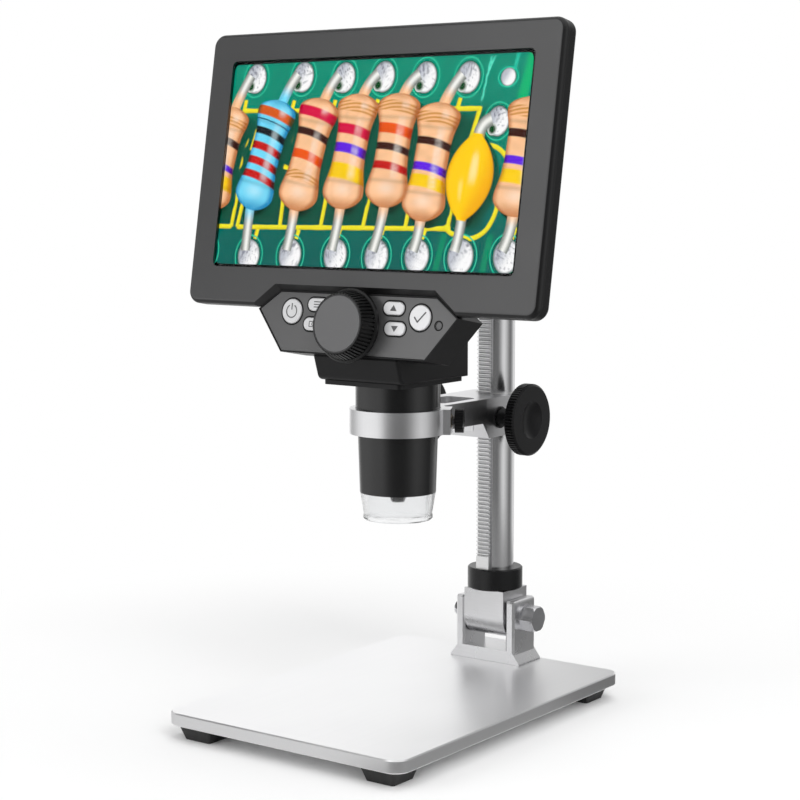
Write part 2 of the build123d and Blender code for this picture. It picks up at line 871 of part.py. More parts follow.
with BuildPart() as screen_window:
    with BuildSketch(on_face(screen_sunk + screen_thickness)):
        RectangleRounded(screen_width - 2 * seam, screen_height - 2 * seam, screen_corner)
    extrude(amount=screen_thickness)
pieces["screen_window"] = screen_window

with BuildPart() as lcd_panel:
    with BuildSketch(on_face(bezel_lip)):
        with Locations((0, -panel_drop)):
            Rectangle(panel_width, panel_height)
    extrude(amount=-panel_thickness)
    fillet(lcd_panel.edges().filter_by(lambda edge: edge.length < panel_thickness + 0.1), 1.0)
pieces["lcd_panel"] = lcd_panel

cavity_floor = display_depth - display_wall
with BuildPart() as rear_cover:
    with BuildSketch(on_face(bezel_depth)) as cover_outline:
        with Locations((0, -display_drop)):
            RectangleRounded(display_width, display_height, display_corner)
    extrude(amount=-(display_depth - bezel_depth))
    fillet(rear_cover.faces().filter_by(on_face(0)).sort_by(Axis.Y)[-1].edges(), 2.0)
    with BuildSketch(on_face(display_depth)):
        with Locations((0, hump_raise)):
            RectangleRounded(hump_width, hump_height, 10.0)
    extrude(amount=-hump_depth, taper=hump_taper)
    fillet(rear_cover.faces().filter_by(on_face(0)).sort_by(Axis.Y)[-1].edges(), 1.5)
    with BuildSketch(on_face(bezel_depth)):
        with Locations((0, -display_drop)):
            RectangleRounded(
                display_width - 2 * display_wall,
                display_height - 2 * display_wall,
                display_corner - display_wall,
            )
        with BuildSketch(mode=Mode.PRIVATE) as channel:
            Polygon(*six_corners(housing_hexagon), align=None)
            offset(amount=seam + display_wall, kind=Kind.INTERSECTION)
        add(channel.sketch, mode=Mode.SUBTRACT)
    extrude(amount=-(cavity_floor - bezel_depth), mode=Mode.SUBTRACT)
    with BuildSketch(on_face(cavity_floor)):
        with Locations((0, hump_raise)):
            RectangleRounded(
                hump_width - 2 * hump_depth - display_wall,
                hump_height - 2 * hump_depth - display_wall,
                6.0,
            )
    extrude(amount=-hump_depth, mode=Mode.SUBTRACT)
    with BuildSketch(on_face(bezel_depth)):
        Polygon(*six_corners(housing_hexagon), align=None)
        offset(amount=seam, kind=Kind.INTERSECTION)
    extrude(amount=-2 * display_depth, mode=Mode.SUBTRACT)
    with BuildSketch(on_face(2 * bezel_depth)):
        with Locations(*boss_places):
            Circle(boss_r)
    extrude(amount=-(cavity_floor - 2 * bezel_depth))
    with BuildSketch(on_face(2 * bezel_depth)):
        with Locations(*boss_places):
            Circle(cover_screw_r + sliding)
    extrude(amount=-display_depth, mode=Mode.SUBTRACT)
    with BuildSketch(on_face(display_depth)):
        with Locations(*boss_places):
            Circle(cover_screw_head_r + seam)
    extrude(amount=cover_screw_head, mode=Mode.SUBTRACT)
    with BuildSketch(on_left_side(usb_up, socket_depth, -1.0)):
        SlotOverall(usb_width + 2 * sliding, usb_height + 2 * sliding)
    extrude(amount=-usb_length - 1.5, mode=Mode.SUBTRACT)
    with BuildSketch(on_left_side(card_up, socket_depth, -1.0)):
        Rectangle(card_width + 2 * sliding, card_height + 2 * sliding)
    extrude(amount=-card_length - 1.5, mode=Mode.SUBTRACT)
pieces["rear_cover"] = rear_cover

with BuildPart() as cover_screws:
    with BuildSketch(on_face(display_depth - 0.1)):
        with Locations(*boss_places):
            Circle(cover_screw_head_r)
    extrude(amount=cover_screw_head - 0.1)
    with BuildSketch(on_face(display_depth - cover_screw_head)):
        with Locations(*boss_places):
            Circle(cover_screw_r)
    extrude(amount=display_depth - cover_screw_head - bezel_lip)
    with BuildSketch(on_face(display_depth - 0.1)):
        with Locations(*boss_places):
            Rectangle(2.6, 0.6)
            Rectangle(0.6, 2.6)
    extrude(amount=0.6, mode=Mode.SUBTRACT)
pieces["cover_screws"] = cover_screws

# ---- Keypad housing, fascia and the neck behind them ----------------------------------------
screw_posts = [(side * x, y) for side in (-1, 1) for x, y in ((44.6, -61.6), (33.0, -76.0))]
cavity_depth = fascia_back + fascia_thickness
with BuildPart() as keypad_housing:
    with BuildSketch(on_face(housing_parting)):
        Polygon(*six_corners(housing_hexagon), align=None)
    extrude(amount=housing_parting - bezel_depth)
    with BuildSketch(on_face(fascia_back)):
        Polygon(*six_corners(fascia_hexagon), align=None)
        offset(amount=seam, kind=Kind.INTERSECTION)
    extrude(amount=fascia_back, mode=Mode.SUBTRACT)
    with BuildSketch(on_face(fascia_depth)):
        Polygon(*six_corners(fascia_hexagon), align=None)
        offset(amount=-fascia_ledge, kind=Kind.INTERSECTION)
    extrude(amount=-housing_parting, mode=Mode.SUBTRACT)
    with BuildSketch(on_face(cavity_depth)):
        Polygon(*six_corners(housing_hexagon), align=None)
        offset(amount=-housing_wall, kind=Kind.INTERSECTION)
    extrude(amount=-housing_parting, mode=Mode.SUBTRACT)
    with BuildSketch(on_face(housing_parting)):
        with Locations(*screw_posts):
            Circle(boss_r)
    extrude(amount=housing_parting - cavity_depth + fascia_ledge / 2)
    with BuildSketch(on_face(housing_parting)):
        with Locations(*screw_posts):
            Circle(cover_screw_r)
    extrude(amount=housing_parting - cavity_depth - 0.5, mode=Mode.SUBTRACT)
pieces["keypad_housing"] = keypad_housing

with BuildPart() as keypad_fascia:
    with BuildSketch(on_face(fascia_back)):
        Polygon(*six_corners(fascia_hexagon), align=None)
        with Locations(*round_keys.values()):
            Circle(round_key_r + key_gap, mode=Mode.SUBTRACT)
        with Locations(*pill_keys.values()):
            SlotOverall(
                pill_key_length + 2 * key_gap, pill_key_width + 2 * key_gap, mode=Mode.SUBTRACT
            )
        with Locations((0, -focus_drop)):
            Circle(focus_hub_r + moving, mode=Mode.SUBTRACT)
        with Locations((indicator_x, -indicator_drop)):
            Circle(indicator_r, mode=Mode.SUBTRACT)
    extrude(amount=fascia_thickness)
pieces["keypad_fascia"] = keypad_fascia

with BuildPart() as indicator_lens:
    with BuildSketch(on_face(fascia_back + 0.6)):
        with Locations((indicator_x, -indicator_drop)):
            Circle(indicator_r)
    extrude(amount=fascia_thickness + 0.3)
    with BuildSketch(on_face(fascia_back + 0.6)):
        with Locations((indicator_x, -indicator_drop)):
            Circle(indicator_r + 0.6)
    extrude(amount=0.6)
pieces["indicator_lens"] = indicator_lens

neck_profile = [
    (neck_front_bottom, neck_bottom),
    (neck_front, neck_front_z),
    face_point(-70.0, housing_parting - 4.0),
    face_point(-60.0, display_depth + seam),
    face_point(-neck_roof_drop, display_depth + seam),
    (neck_back, neck_shoulder_z),
    (neck_back, neck_bottom),
]
plate_screws = [(side * 17.3, y) for side in (-1, 1) for y in (-25.4, 14.4)]
with BuildPart() as neck_housing:
    with BuildSketch(across(0, 0, 0)):
        Polygon(*neck_profile, align=None)
        fillet(vertices().sort_by(Axis.Y)[0], 3.0)
    extrude(amount=neck_half_width, both=True)
    side_rims = neck_housing.faces().filter_by(Axis.X).edges()
    fillet(side_rims, neck_edge)
    with BuildSketch(across(0, 0, 0)):
        Polygon(*neck_profile, align=None)
        offset(amount=-neck_wall, kind=Kind.INTERSECTION)
        with Locations(((neck_front_bottom + neck_back) / 2, neck_bottom)):
            Rectangle(
                neck_back - neck_front_bottom - 2 * neck_wall - 1.0,
                3 * neck_wall,
                align=(Align.CENTER, Align.CENTER),
            )
    extrude(amount=neck_half_width - neck_wall, both=True, mode=Mode.SUBTRACT)
    with BuildSketch(on_face(housing_depth)):
        Polygon(*six_corners(housing_hexagon), align=None)
    extrude(amount=2 * housing_depth, mode=Mode.SUBTRACT)
    with BuildSketch(on_face(housing_depth)):
        Polygon(*six_corners(housing_hexagon), align=None)
    extrude(amount=housing_depth - housing_parting)
    with BuildSketch(on_face(housing_parting)):
        Polygon(*six_corners(housing_hexagon), align=None)
        offset(amount=-housing_wall, kind=Kind.INTERSECTION)
    extrude(amount=-(housing_depth - housing_parting - housing_wall), mode=Mode.SUBTRACT)
    with BuildSketch(on_face(housing_depth)):
        with Locations((0, -focus_drop)):
            Circle(focus_boss_r)
        with Locations(*screw_posts):
            Circle(boss_r)
    extrude(amount=focus_boss)
    with BuildSketch(on_face(housing_parting)):
        with Locations(*screw_posts):
            Circle(boss_r)
    extrude(amount=-(housing_depth - housing_parting - housing_wall))
    with BuildSketch(on_face(housing_parting)):
        with Locations((0, -focus_drop)):
            Circle(focus_bush_r)
        with Locations(*screw_posts):
            Circle(cover_screw_r + sliding)
    extrude(amount=-housing_depth, mode=Mode.SUBTRACT)
    with BuildSketch(on_face(housing_depth)):
        with Locations(*screw_posts):
            Circle(cover_screw_head_r + seam)
    extrude(amount=cover_screw_head, mode=Mode.SUBTRACT)
    with BuildSketch(Plane.XY.offset(neck_bottom)):
        with Locations(*plate_screws):
            Circle(boss_r + 0.5)
    extrude(amount=plate_boss)
    with BuildSketch(Plane.XY.offset(neck_bottom)):
        with Locations(*plate_screws):
            Circle(cover_screw_r)
    extrude(amount=plate_boss - 1.0, mode=Mode.SUBTRACT)
pieces["neck_housing"] = neck_housing

with BuildPart() as neck_plate:
    with BuildSketch(Plane.XY.offset(barrel_top)):
        with Locations((0, (neck_front_bottom + neck_back) / 2)):
            RectangleRounded(
                2 * (neck_half_width - neck_plate_margin),
                neck_back - neck_front_bottom - 2 * neck_plate_margin + 0.6,
                2.5,
            )
        with Locations((0, barrel_y)):
            Circle(barrel_spigot_r, mode=Mode.SUBTRACT)
        with Locations(*plate_screws):
            Circle(cover_screw_r + sliding, mode=Mode.SUBTRACT)
    extrude(amount=neck_bottom - barrel_top)
    with BuildSketch(Plane.XY.offset(barrel_top)):
        with Locations(*plate_screws):
            Circle(cover_screw_head_r + seam)
    extrude(amount=cover_screw_head, mode=Mode.SUBTRACT)
pieces["neck_plate"] = neck_plate

with BuildPart() as housing_screws:
    with BuildSketch(on_face(housing_depth - 0.1)):
        with Locations(*screw_posts):
            Circle(cover_screw_head_r)
    extrude(amount=cover_screw_head - 0.1)
    with BuildSketch(on_face(housing_depth - cover_screw_head)):
        with Locations(*screw_posts):
            Circle(cover_screw_r)
    extrude(amount=housing_depth - cover_screw_head - cavity_depth - 0.5)
    with BuildSketch(on_face(housing_depth - 0.1)):
        with Locations(*screw_posts):
            Rectangle(2.6, 0.6)
            Rectangle(0.6, 2.6)
    extrude(amount=0.6, mode=Mode.SUBTRACT)
    with BuildSketch(Plane.XY.offset(barrel_top + 0.1)):
        with Locations(*plate_screws):
            Circle(cover_screw_head_r)
    extrude(amount=cover_screw_head - 0.1)
    with BuildSketch(Plane.XY.offset(barrel_top + cover_screw_head)):
        with Locations(*plate_screws):
            Circle(cover_screw_r)
    extrude(amount=neck_bottom - barrel_top - cover_screw_head + plate_boss - 1.5)
    with BuildSketch(Plane.XY.offset(barrel_top + 0.1)):
        with Locations(*plate_screws):
            Rectangle(2.6, 0.6)
            Rectangle(0.6, 2.6)
    extrude(amount=0.6, mode=Mode.SUBTRACT)
pieces["housing_screws"] = housing_screws

# ---- Barrel, clear hood and the lamps inside it ---------------------------------------------
with BuildPart() as barrel_sleeve:
    with BuildSketch(Plane.XZ.offset(-barrel_y)):
        with BuildLine():
            Polyline(
                (barrel_bore_r, barrel_foot_z),
                (barrel_foot_r, barrel_foot_z),
                (barrel_step_r, barrel_step_z),
                (barrel_r, barrel_step_z + 0.6),
                (barrel_r, barrel_top),
                (barrel_spigot_r, barrel_top),
                (barrel_spigot_r, barrel_top + barrel_spigot),
                (barrel_bore_r, barrel_top + barrel_spigot),
                close=True,
            )
        make_face()
    revolve(axis=Axis((0, barrel_y, 0), (0, 0, 1)))
pieces["barrel_sleeve"] = barrel_sleeve

with BuildPart() as tip_hood:
    with BuildSketch(Plane.XZ.offset(-barrel_y)):
        with BuildLine():
            Polyline(
                (hood_foot_r - hood_wall, hood_foot_z),
                (hood_foot_r, hood_foot_z),
                (hood_foot_r + hood_lip, hood_foot_z + 0.6),
                (hood_foot_r + hood_lip, hood_foot_z + 1.6),
                (hood_foot_r + 0.25, hood_foot_z + 2.2),
                (hood_top_r, barrel_foot_z),
                (barrel_bore_r, barrel_foot_z),
                (barrel_bore_r, barrel_foot_z + hood_spigot),
                (barrel_bore_r - hood_wall, barrel_foot_z + hood_spigot),
                (barrel_bore_r - hood_wall, barrel_foot_z - 1.5),
                close=True,
            )
        make_face()
    revolve(axis=Axis((0, barrel_y, 0), (0, 0, 1)))
pieces["tip_hood"] = tip_hood

led_board_z = barrel_foot_z + hood_spigot
with BuildPart() as led_board:
    with BuildSketch(Plane.XY.offset(led_board_z)):
        with Locations((0, barrel_y)):
            Circle(barrel_bore_r - sliding)
            Circle(nose_r, mode=Mode.SUBTRACT)
    extrude(amount=led_board_thickness)
pieces["led_board"] = led_board

with BuildPart() as led_lamps:
    with BuildSketch(Plane.XY.offset(led_board_z - led_height)):
        with Locations((0, barrel_y)):
            with PolarLocations(led_circle_r, led_count):
                Rectangle(led_size, led_size)
    extrude(amount=led_height)
pieces["led_lamps"] = led_lamps

with BuildPart() as lens_nose:
    with BuildSketch(Plane.XZ.offset(-barrel_y)):
        with BuildLine():
            Polyline(
                (nose_bore_r, barrel_foot_z - nose_drop),
                (nose_tip_r, barrel_foot_z - nose_drop),
                (nose_r - 1.2, barrel_foot_z),
                (nose_r, barrel_foot_z + 1.0),
                (nose_r, led_board_z + led_board_thickness),
                (nose_r - 1.2, led_board_z + led_board_thickness),
                close=True,
            )
        make_face()
    revolve(axis=Axis((0, barrel_y, 0), (0, 0, 1)))
pieces["lens_nose"] = lens_nose

# ---- Lens carrier: it slides in the barrel on a rack cut askew to suit the tilted knob -------
carrier_top = carrier_bottom + carrier_height
rack_tip_x = focus_pitch_r - focus_addendum
with BuildPart() as lens_carrier:
    with BuildSketch(Plane.XY.offset(carrier_bottom)):
        with Locations((0, barrel_y)):
            Circle(lens_clear_r)
            Circle(carrier_bore_r, mode=Mode.SUBTRACT)
    extrude(amount=carrier_height)
    with BuildSketch(Plane.XY.offset(carrier_top)):
        with Locations((0, barrel_y)):
            Circle(lens_clear_r)
    extrude(amount=-carrier_floor)
    with BuildSketch(Plane.XY.offset(carrier_top)):
        with Locations((rack_tip_x, barrel_y)):
            Rectangle(lens_rack_depth, lens_rack_width, align=(Align.MIN, Align.CENTER))
    extrude(amount=lens_rack_top - carrier_top)
    with BuildSketch(on_face(focus_gear_depth)):
        with BuildLine():
            teeth = [
                (focus_pitch_r - height, travel - focus_drop)
                for height, travel in rack_points(
                    focus_module, focus_addendum, seam, -lens_rack_teeth, lens_rack_teeth - 1
                )
            ]
            Polyline(
                (rack_tip_x - 1.0, teeth[0][1]),
                *teeth,
                (rack_tip_x - 1.0, teeth[-1][1]),
                close=True,
            )
        make_face()
    extrude(amount=lens_rack_width, both=True, mode=Mode.SUBTRACT)
pieces["lens_carrier"] = lens_carrier

with BuildPart() as objective_lens:
    with BuildSketch(Plane.XY.offset(carrier_bottom + 1.0)):
        with Locations((0, barrel_y)):
            Circle(carrier_bore_r)
    extrude(amount=lens_thickness)
    for side in (-1, 1):
        middle_z = carrier_bottom + 1.0 + lens_thickness / 2
        with Locations((0, barrel_y, middle_z + side * (lens_sphere_r - lens_thickness / 2))):
            Sphere(lens_sphere_r, mode=Mode.INTERSECT)
pieces["objective_lens"] = objective_lens

with BuildPart() as sensor_board:
    with BuildSketch(Plane.XY.offset(carrier_top - carrier_floor)):
        with Locations((0, barrel_y)):
            Circle(carrier_bore_r - sliding)
    extrude(amount=-sensor_thickness)
    with BuildSketch(Plane.XY.offset(carrier_top - carrier_floor - sensor_thickness)):
        with Locations((0, barrel_y)):
            Rectangle(7.0, 7.0)
    extrude(amount=-1.4)
pieces["sensor_board"] = sensor_board

# ---- Fine focus: knob, shaft with its pinion, and bush --------------------------------------
knob_seat = -focus_sunk
knob_front = knob_seat + focus_height
focus_spin_plane = Plane(
    origin=(0, *face_point(-focus_drop, 0)), x_dir=(1, 0, 0), z_dir=(0, -sin_tilt, -cos_tilt)
)
focus_axis = Axis(focus_spin_plane.origin, focus_spin_plane.y_dir)
with BuildPart() as focus_knob:
    with BuildSketch(focus_spin_plane):
        with BuildLine():
            Polyline(
                (0, knob_front),
                (0, knob_front - focus_face),
                (shaft_r, knob_front - focus_face),
                (shaft_r, knob_seat - focus_hub),
                (focus_hub_r, knob_seat - focus_hub),
                (focus_hub_r, knob_seat),
                (focus_flange_r, knob_seat),
                (focus_flange_r, knob_seat + focus_flange - 0.5),
                (focus_flange_r - 0.5, knob_seat + focus_flange),
                (focus_body_r, knob_seat + focus_flange),
                (focus_front_r, knob_front - 0.5),
                (focus_front_r - 0.5, knob_front),
                (focus_face_r, knob_front),
                (focus_face_r, knob_front - 0.3),
                (focus_face_r - 0.4, knob_front - 0.3),
                (focus_face_r - 0.4, knob_front),
                close=True,
            )
        make_face()
    revolve(axis=focus_axis)
    rib_length = focus_height - focus_flange
    rib_lean = math.degrees(math.atan((focus_body_r - focus_front_r) / rib_length))
    with Locations(on_face(-knob_seat - focus_flange - rib_length / 2)):
        with Locations((0, -focus_drop)):
            with PolarLocations((focus_body_r + focus_front_r) / 2, focus_ribs):
                Box(
                    2 * focus_rib_depth,
                    focus_rib_gap,
                    rib_length,
                    rotation=(0, -rib_lean, 0),
                    mode=Mode.SUBTRACT,
                )
pieces["focus_knob"] = focus_knob

with BuildPart() as focus_shaft:
    with BuildSketch(on_face(focus_gear_depth + focus_gear_width / 2)):
        with Locations((0, -focus_drop)):
            with BuildLine():
                outline = gear_outline(focus_module, focus_teeth, 0.0, focus_addendum)
                Polyline(*[(x, y - focus_drop) for x, y in outline], close=True)
            make_face()
    extrude(amount=focus_gear_width)
    with BuildSketch(on_face(focus_gear_depth + focus_gear_width / 2 + 1.5)):
        with Locations((0, -focus_drop)):
            Circle(shaft_r)
    extrude(amount=focus_gear_depth + focus_gear_width / 2 + 1.5 + knob_front - focus_face)
pieces["focus_shaft"] = focus_shaft

with BuildPart() as focus_bush:
    with BuildSketch(on_face(housing_depth)):
        with Locations((0, -focus_drop)):
            Circle(focus_bush_r)
            Circle(shaft_r + running, mode=Mode.SUBTRACT)
    extrude(amount=focus_boss)
    with BuildSketch(on_face(housing_depth - focus_boss)):
        with Locations((0, -focus_drop)):
            Circle(focus_boss_r)
            Circle(shaft_r + running, mode=Mode.SUBTRACT)
    extrude(amount=0.8)
pieces["focus_bush"] = focus_bush

# ---- Keys: each slides in the fascia and presses its switch ----------------------------------
key_front = fascia_depth - key_proud
key_back = fascia_back + key_gap
flange_back = key_back + key_flange_thickness
stem_end = key_switch_depth - key_travel - seam
for name, place in {**round_keys, **pill_keys}.items():
    with BuildPart() as key:
        for grow, start, end in ((0, key_front, key_back), (key_flange, key_back, flange_back)):
            with BuildSketch(on_face(end)):
                with Locations(place):
                    if name in round_keys:
                        Circle(round_key_r + grow)
                    else:
                        SlotOverall(pill_key_length + 2 * grow, pill_key_width + 2 * grow)
            extrude(amount=end - start)
        chamfer(key.faces().filter_by(on_face(0)).sort_by(Axis.Y)[0].edges(), 0.3)
        with BuildSketch(on_face(stem_end)):
            with Locations(place):
                Circle(key_stem_r)
        extrude(amount=stem_end - key_back)
    pieces[name] = key

with BuildPart() as keypad_board:
    with BuildSketch(on_face(key_board_depth)):
        with Locations((0, -64.2)):
            RectangleRounded(79.0, 17.2, 1.5)
        with Locations((0, -focus_drop)):
            Circle(focus_boss_r + 1.0, mode=Mode.SUBTRACT)
    extrude(amount=keypad_thickness)
    with BuildSketch(on_face(key_board_depth - keypad_thickness)):
        with Locations(*round_keys.values(), *pill_keys.values()):
            Rectangle(switch_size, switch_size)
    extrude(amount=switch_height)
pieces["keypad_board"] = keypad_board

# ---- Inside the display: main board, battery and the two sockets ----------------------------
with BuildPart() as mainboard:
    with BuildSketch(on_face(9.6)):
        with Locations((31.5, hump_raise)):
            RectangleRounded(66.0, 60.0, 2.0)
    extrude(amount=1.6)
    with BuildSketch(on_face(9.6)):
        with Locations((24.0, 10.0)):
            Rectangle(24.0, 24.0)
        with Locations((50.0, 12.0)):
            Rectangle(12.0, 16.0)
        with Locations((34.0, -18.0)):
            Rectangle(30.0, 6.0)
    extrude(amount=-2.4)
pieces["mainboard"] = mainboard

with BuildPart() as battery_pack:
    with BuildSketch(on_face(6.9)):
        with Locations((-35.5, hump_raise)):
            RectangleRounded(62.0, 60.0, 3.0)
    extrude(amount=-5.6)
    fillet(battery_pack.faces().filter_by(on_face(0)).sort_by(Axis.Y)[-1].edges(), 1.5)
pieces["battery_pack"] = battery_pack

with BuildPart() as usb_socket:
    with BuildSketch(on_left_side(usb_up, socket_depth)):
        SlotOverall(usb_width, usb_height)
    extrude(amount=-usb_length)
    with BuildSketch(on_left_side(usb_up, socket_depth)):
        SlotOverall(usb_width - 0.6, usb_height - 0.6)
    extrude(amount=-usb_length + 1.0, mode=Mode.SUBTRACT)
    with BuildSketch(on_left_side(usb_up, socket_depth, 1.2)):
        Rectangle(6.6, 0.7)
    extrude(amount=-usb_length + 1.6)
pieces["usb_socket"] = usb_socket

with BuildPart() as card_socket:
    with BuildSketch(on_left_side(card_up, socket_depth)):
        Rectangle(card_width, card_height)
    extrude(amount=-card_length)
    with BuildSketch(on_left_side(card_up, socket_depth)):
        Rectangle(card_width - 2.6, 1.0)
    extrude(amount=-card_length + 1.0, mode=Mode.SUBTRACT)
pieces["card_socket"] = card_socket

os.makedirs("parts", exist_ok=True)
for name, piece in pieces.items():
    piece.part.label = name
    export_step(piece.part, f"parts/{name}.step")
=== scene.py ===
# %% [markdown]
# # A digital microscope with its own display
#
# The object is a bench microscope: a flat display leans back over a black barrel, and an arm
# with a rack and pinion carries both on an aluminium column. The solid parts come from a CAD
# model. This lesson dresses them: it gives every part its finish, and adds what is too fine for
# CAD, such as the lit picture, the signs on the keys and the thread of the thumb screw.

# %% Load the solid model
import math
import bmesh
import bpy
import numpy as np
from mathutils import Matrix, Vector


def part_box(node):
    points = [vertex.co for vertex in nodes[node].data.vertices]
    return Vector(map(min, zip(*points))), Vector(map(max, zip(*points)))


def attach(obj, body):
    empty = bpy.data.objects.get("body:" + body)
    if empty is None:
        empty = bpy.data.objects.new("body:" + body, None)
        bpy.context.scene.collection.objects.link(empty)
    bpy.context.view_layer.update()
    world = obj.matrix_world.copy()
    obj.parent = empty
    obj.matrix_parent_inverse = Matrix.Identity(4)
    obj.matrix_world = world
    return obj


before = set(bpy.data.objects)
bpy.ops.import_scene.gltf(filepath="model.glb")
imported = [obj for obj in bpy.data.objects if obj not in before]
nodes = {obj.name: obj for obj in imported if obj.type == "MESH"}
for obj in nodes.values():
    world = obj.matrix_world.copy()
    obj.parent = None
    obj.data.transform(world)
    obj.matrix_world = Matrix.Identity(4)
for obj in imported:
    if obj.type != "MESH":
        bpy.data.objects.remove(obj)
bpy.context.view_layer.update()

# %% [markdown]
# ## The places everything hangs on
#
# The display's face leans back by almost ten degrees, and what is drawn or printed on it is
# worked out lying flat, in millimetres across and up the face. The lean is kept as a small
# matrix whose columns are the face's own x, y and z, so one product stands a shape up in its
# place. The barrel's axis and the focus knob's place below the face's middle are named too.

# %% Frames of reference, in metres
LEAN = math.radians(9.79)
FACE_MIDDLE = np.array([0.0, -0.0254, 0.2400])
BARREL_AXIS = np.array([0.0, -0.0026, 0.0])
KNOB_DROP = 0.0675
ON_FACE = np.array([
    [1, 0, 0],
    [0, math.sin(LEAN), -math.cos(LEAN)],
    [0, math.cos(LEAN), math.sin(LEAN)],
])


def placed(points, axes, origin):
    """Points in a piece's own x, y, z turned into the object's: axes times the point, plus origin."""
    return np.asarray(points, float) @ axes.T + np.asarray(origin, float)


print("face looks along", ON_FACE[:, 2].round(3))

# %% [markdown]
# ## The camera
#
# A long lens from a little above keeps the display's edges nearly parallel. The camera is set
# by the angles it looks down at, so that it is easy to move: azimuth is measured round from the
# front, and elevation up from the table.

# %% Camera
AZIMUTH, ELEVATION = math.radians(36.14), math.radians(6.63)
DISTANCE = 0.8222
SENSOR = 36.0
PICTURE_WIDTH, FOCAL_PIXELS = 800, 1919.4
TARGET = np.array([-0.00082, 0.0, 0.1393])
back = np.array([
    math.sin(AZIMUTH) * math.cos(ELEVATION),
    -math.cos(AZIMUTH) * math.cos(ELEVATION),
    math.sin(ELEVATION),
])
eye_data = bpy.data.cameras.new("eye")
eye = bpy.data.objects.new("eye", eye_data)
bpy.context.scene.collection.objects.link(eye)
eye_data.sensor_width = SENSOR
eye_data.lens = SENSOR * FOCAL_PIXELS / PICTURE_WIDTH
eye_data.clip_start, eye_data.clip_end = 0.01, 20.0
eye.location = TARGET + DISTANCE * back
eye.rotation_euler = (math.pi / 2 - ELEVATION, 0.0, AZIMUTH)
bpy.context.scene.camera = eye
print("camera stands at", [round(c, 3) for c in eye.location])

# %% [markdown]
# ## From a grid of numbers to a mesh
#
# Nearly every new piece here is a surface with two parameters: one runs along a path and one
# runs round an axis or across a strip. The points are worked out as one numpy array of rows and
# columns, and this helper joins neighbours into four-sided faces. Columns that close on
# themselves share their first points, so no seam is left open.

# %% The mesh helper
CREASE = math.radians(35)


def surface(name, points, round_columns=False):
    """Joins a grid of points (rows, columns, 3) into four-sided faces.

    Points that coincide are merged, and faces that meet at less than CREASE are smoothed.
    """
    rows, columns = points.shape[:2]
    c = np.arange(columns if round_columns else columns - 1)
    r, c = np.meshgrid(np.arange(rows - 1), c, indexing="ij")
    next_c = (c + 1) % columns
    here, above = r * columns, (r + 1) * columns
    quads = np.stack([here + c, here + next_c, above + next_c, above + c], -1).reshape(-1, 4)
    mesh = bpy.data.meshes.new(name)
    mesh.from_pydata(points.reshape(-1, 3), [], quads.tolist())
    work = bmesh.new()
    work.from_mesh(mesh)
    bmesh.ops.remove_doubles(work, verts=work.verts, dist=2e-7)
    work.to_mesh(mesh)
    work.free()
    mesh.validate()
    mesh.shade_smooth()
    mesh.set_sharp_from_angle(angle=CREASE)
    return linked(name, mesh)


def linked(name, mesh):
    """An object that shows a mesh, linked into the scene."""
    piece = bpy.data.objects.new(name, mesh)
    bpy.context.scene.collection.objects.link(piece)
    return piece


def keep(piece, body, material):
    """Gives a new piece its material and lets it ride on a body."""
    piece.data.materials.append(material)
    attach(piece, body)
    print(piece.name, "faces", len(piece.data.polygons), "on", body)


print("helpers ready")

# %% [markdown]
# ## The table and the studio
#
# The floor is a plain pale sheet, and the world is white. Near the object the sheet is real
# enough to take its shadow; further out it fades to pure white, so no horizon shows. What makes
# metal look like metal is what it mirrors, so a wide ring of soft boards stands round the object
# where only mirrored rays see it, with a low sheet inside it for the faces that mirror the table.
# A round column draws their light and dark together into upright bands.

# %% Node helpers
def add(tree, kind, operation=None, **values):
    """A new shader node, with its operation and its inputs set by name, such as From_Min=0.3."""
    node = tree.nodes.new("ShaderNode" + kind)
    if operation is not None:
        node.operation = operation
    for label, value in values.items():
        node.inputs[label.replace("_", " ")].default_value = value
    return node


def join(tree, *links):
    """Links nodes: each link is (node, its output, the next node, its input), by name or by number."""
    for source, output, target, socket in links:
        tree.links.new(source.outputs[output], target.inputs[socket])


def bare_tree(material):
    """Empties a material and returns its node tree, with an output node put in."""
    material.use_nodes = True
    material.node_tree.nodes.clear()
    return material.node_tree, add(material.node_tree, "OutputMaterial")


def plain_rays(tree):
    """1 for camera, mirrored and transmitted rays, so that glass and metal show the background too."""
    seen = add(tree, "LightPath")
    value = seen.outputs["Is Camera Ray"]
    for name in ("Is Glossy Ray", "Is Transmission Ray"):
        most = add(tree, "Math", "MAXIMUM")
        tree.links.new(value, most.inputs[0])
        tree.links.new(seen.outputs[name], most.inputs[1])
        value = most.outputs[0]
    return value


# %% Floor
FLOOR_HALF = 3.0
REAL_WITHIN, WHITE_BEYOND = 0.13, 0.34

fx, fy = np.meshgrid([-FLOOR_HALF, FLOOR_HALF], [-FLOOR_HALF, FLOOR_HALF])
floor = surface("floor", np.stack([fx, fy, np.zeros_like(fx)], -1))
floor_paint = bpy.data.materials.new("pale sheet")
tree, out = bare_tree(floor_paint)
cloth = add(tree, "BsdfDiffuse", Color=(0.95, 0.95, 0.95, 1))
glow = add(tree, "Emission", Strength=1.0)
spot = add(tree, "TexCoord")
distance = add(tree, "VectorMath", "LENGTH")
away = add(tree, "MapRange", From_Min=REAL_WITHIN, From_Max=WHITE_BEYOND, To_Min=0.0, To_Max=1.0)
away.interpolation_type = "SMOOTHSTEP"
share = add(tree, "Math", "MULTIPLY")
both = add(tree, "MixShader")
tree.links.new(plain_rays(tree), share.inputs[1])
join(tree, (spot, "Object", distance, 0), (distance, "Value", away, "Value"), (away, "Result", share, 0),
     (share, 0, both, 0), (cloth, 0, both, 1), (glow, 0, both, 2), (both, 0, out, "Surface"))
floor.data.materials.append(floor_paint)
print("floor fades to white between", REAL_WITHIN, "and", WHITE_BEYOND, "m from the middle")

# %% World
SOFT_LEVEL = 0.62

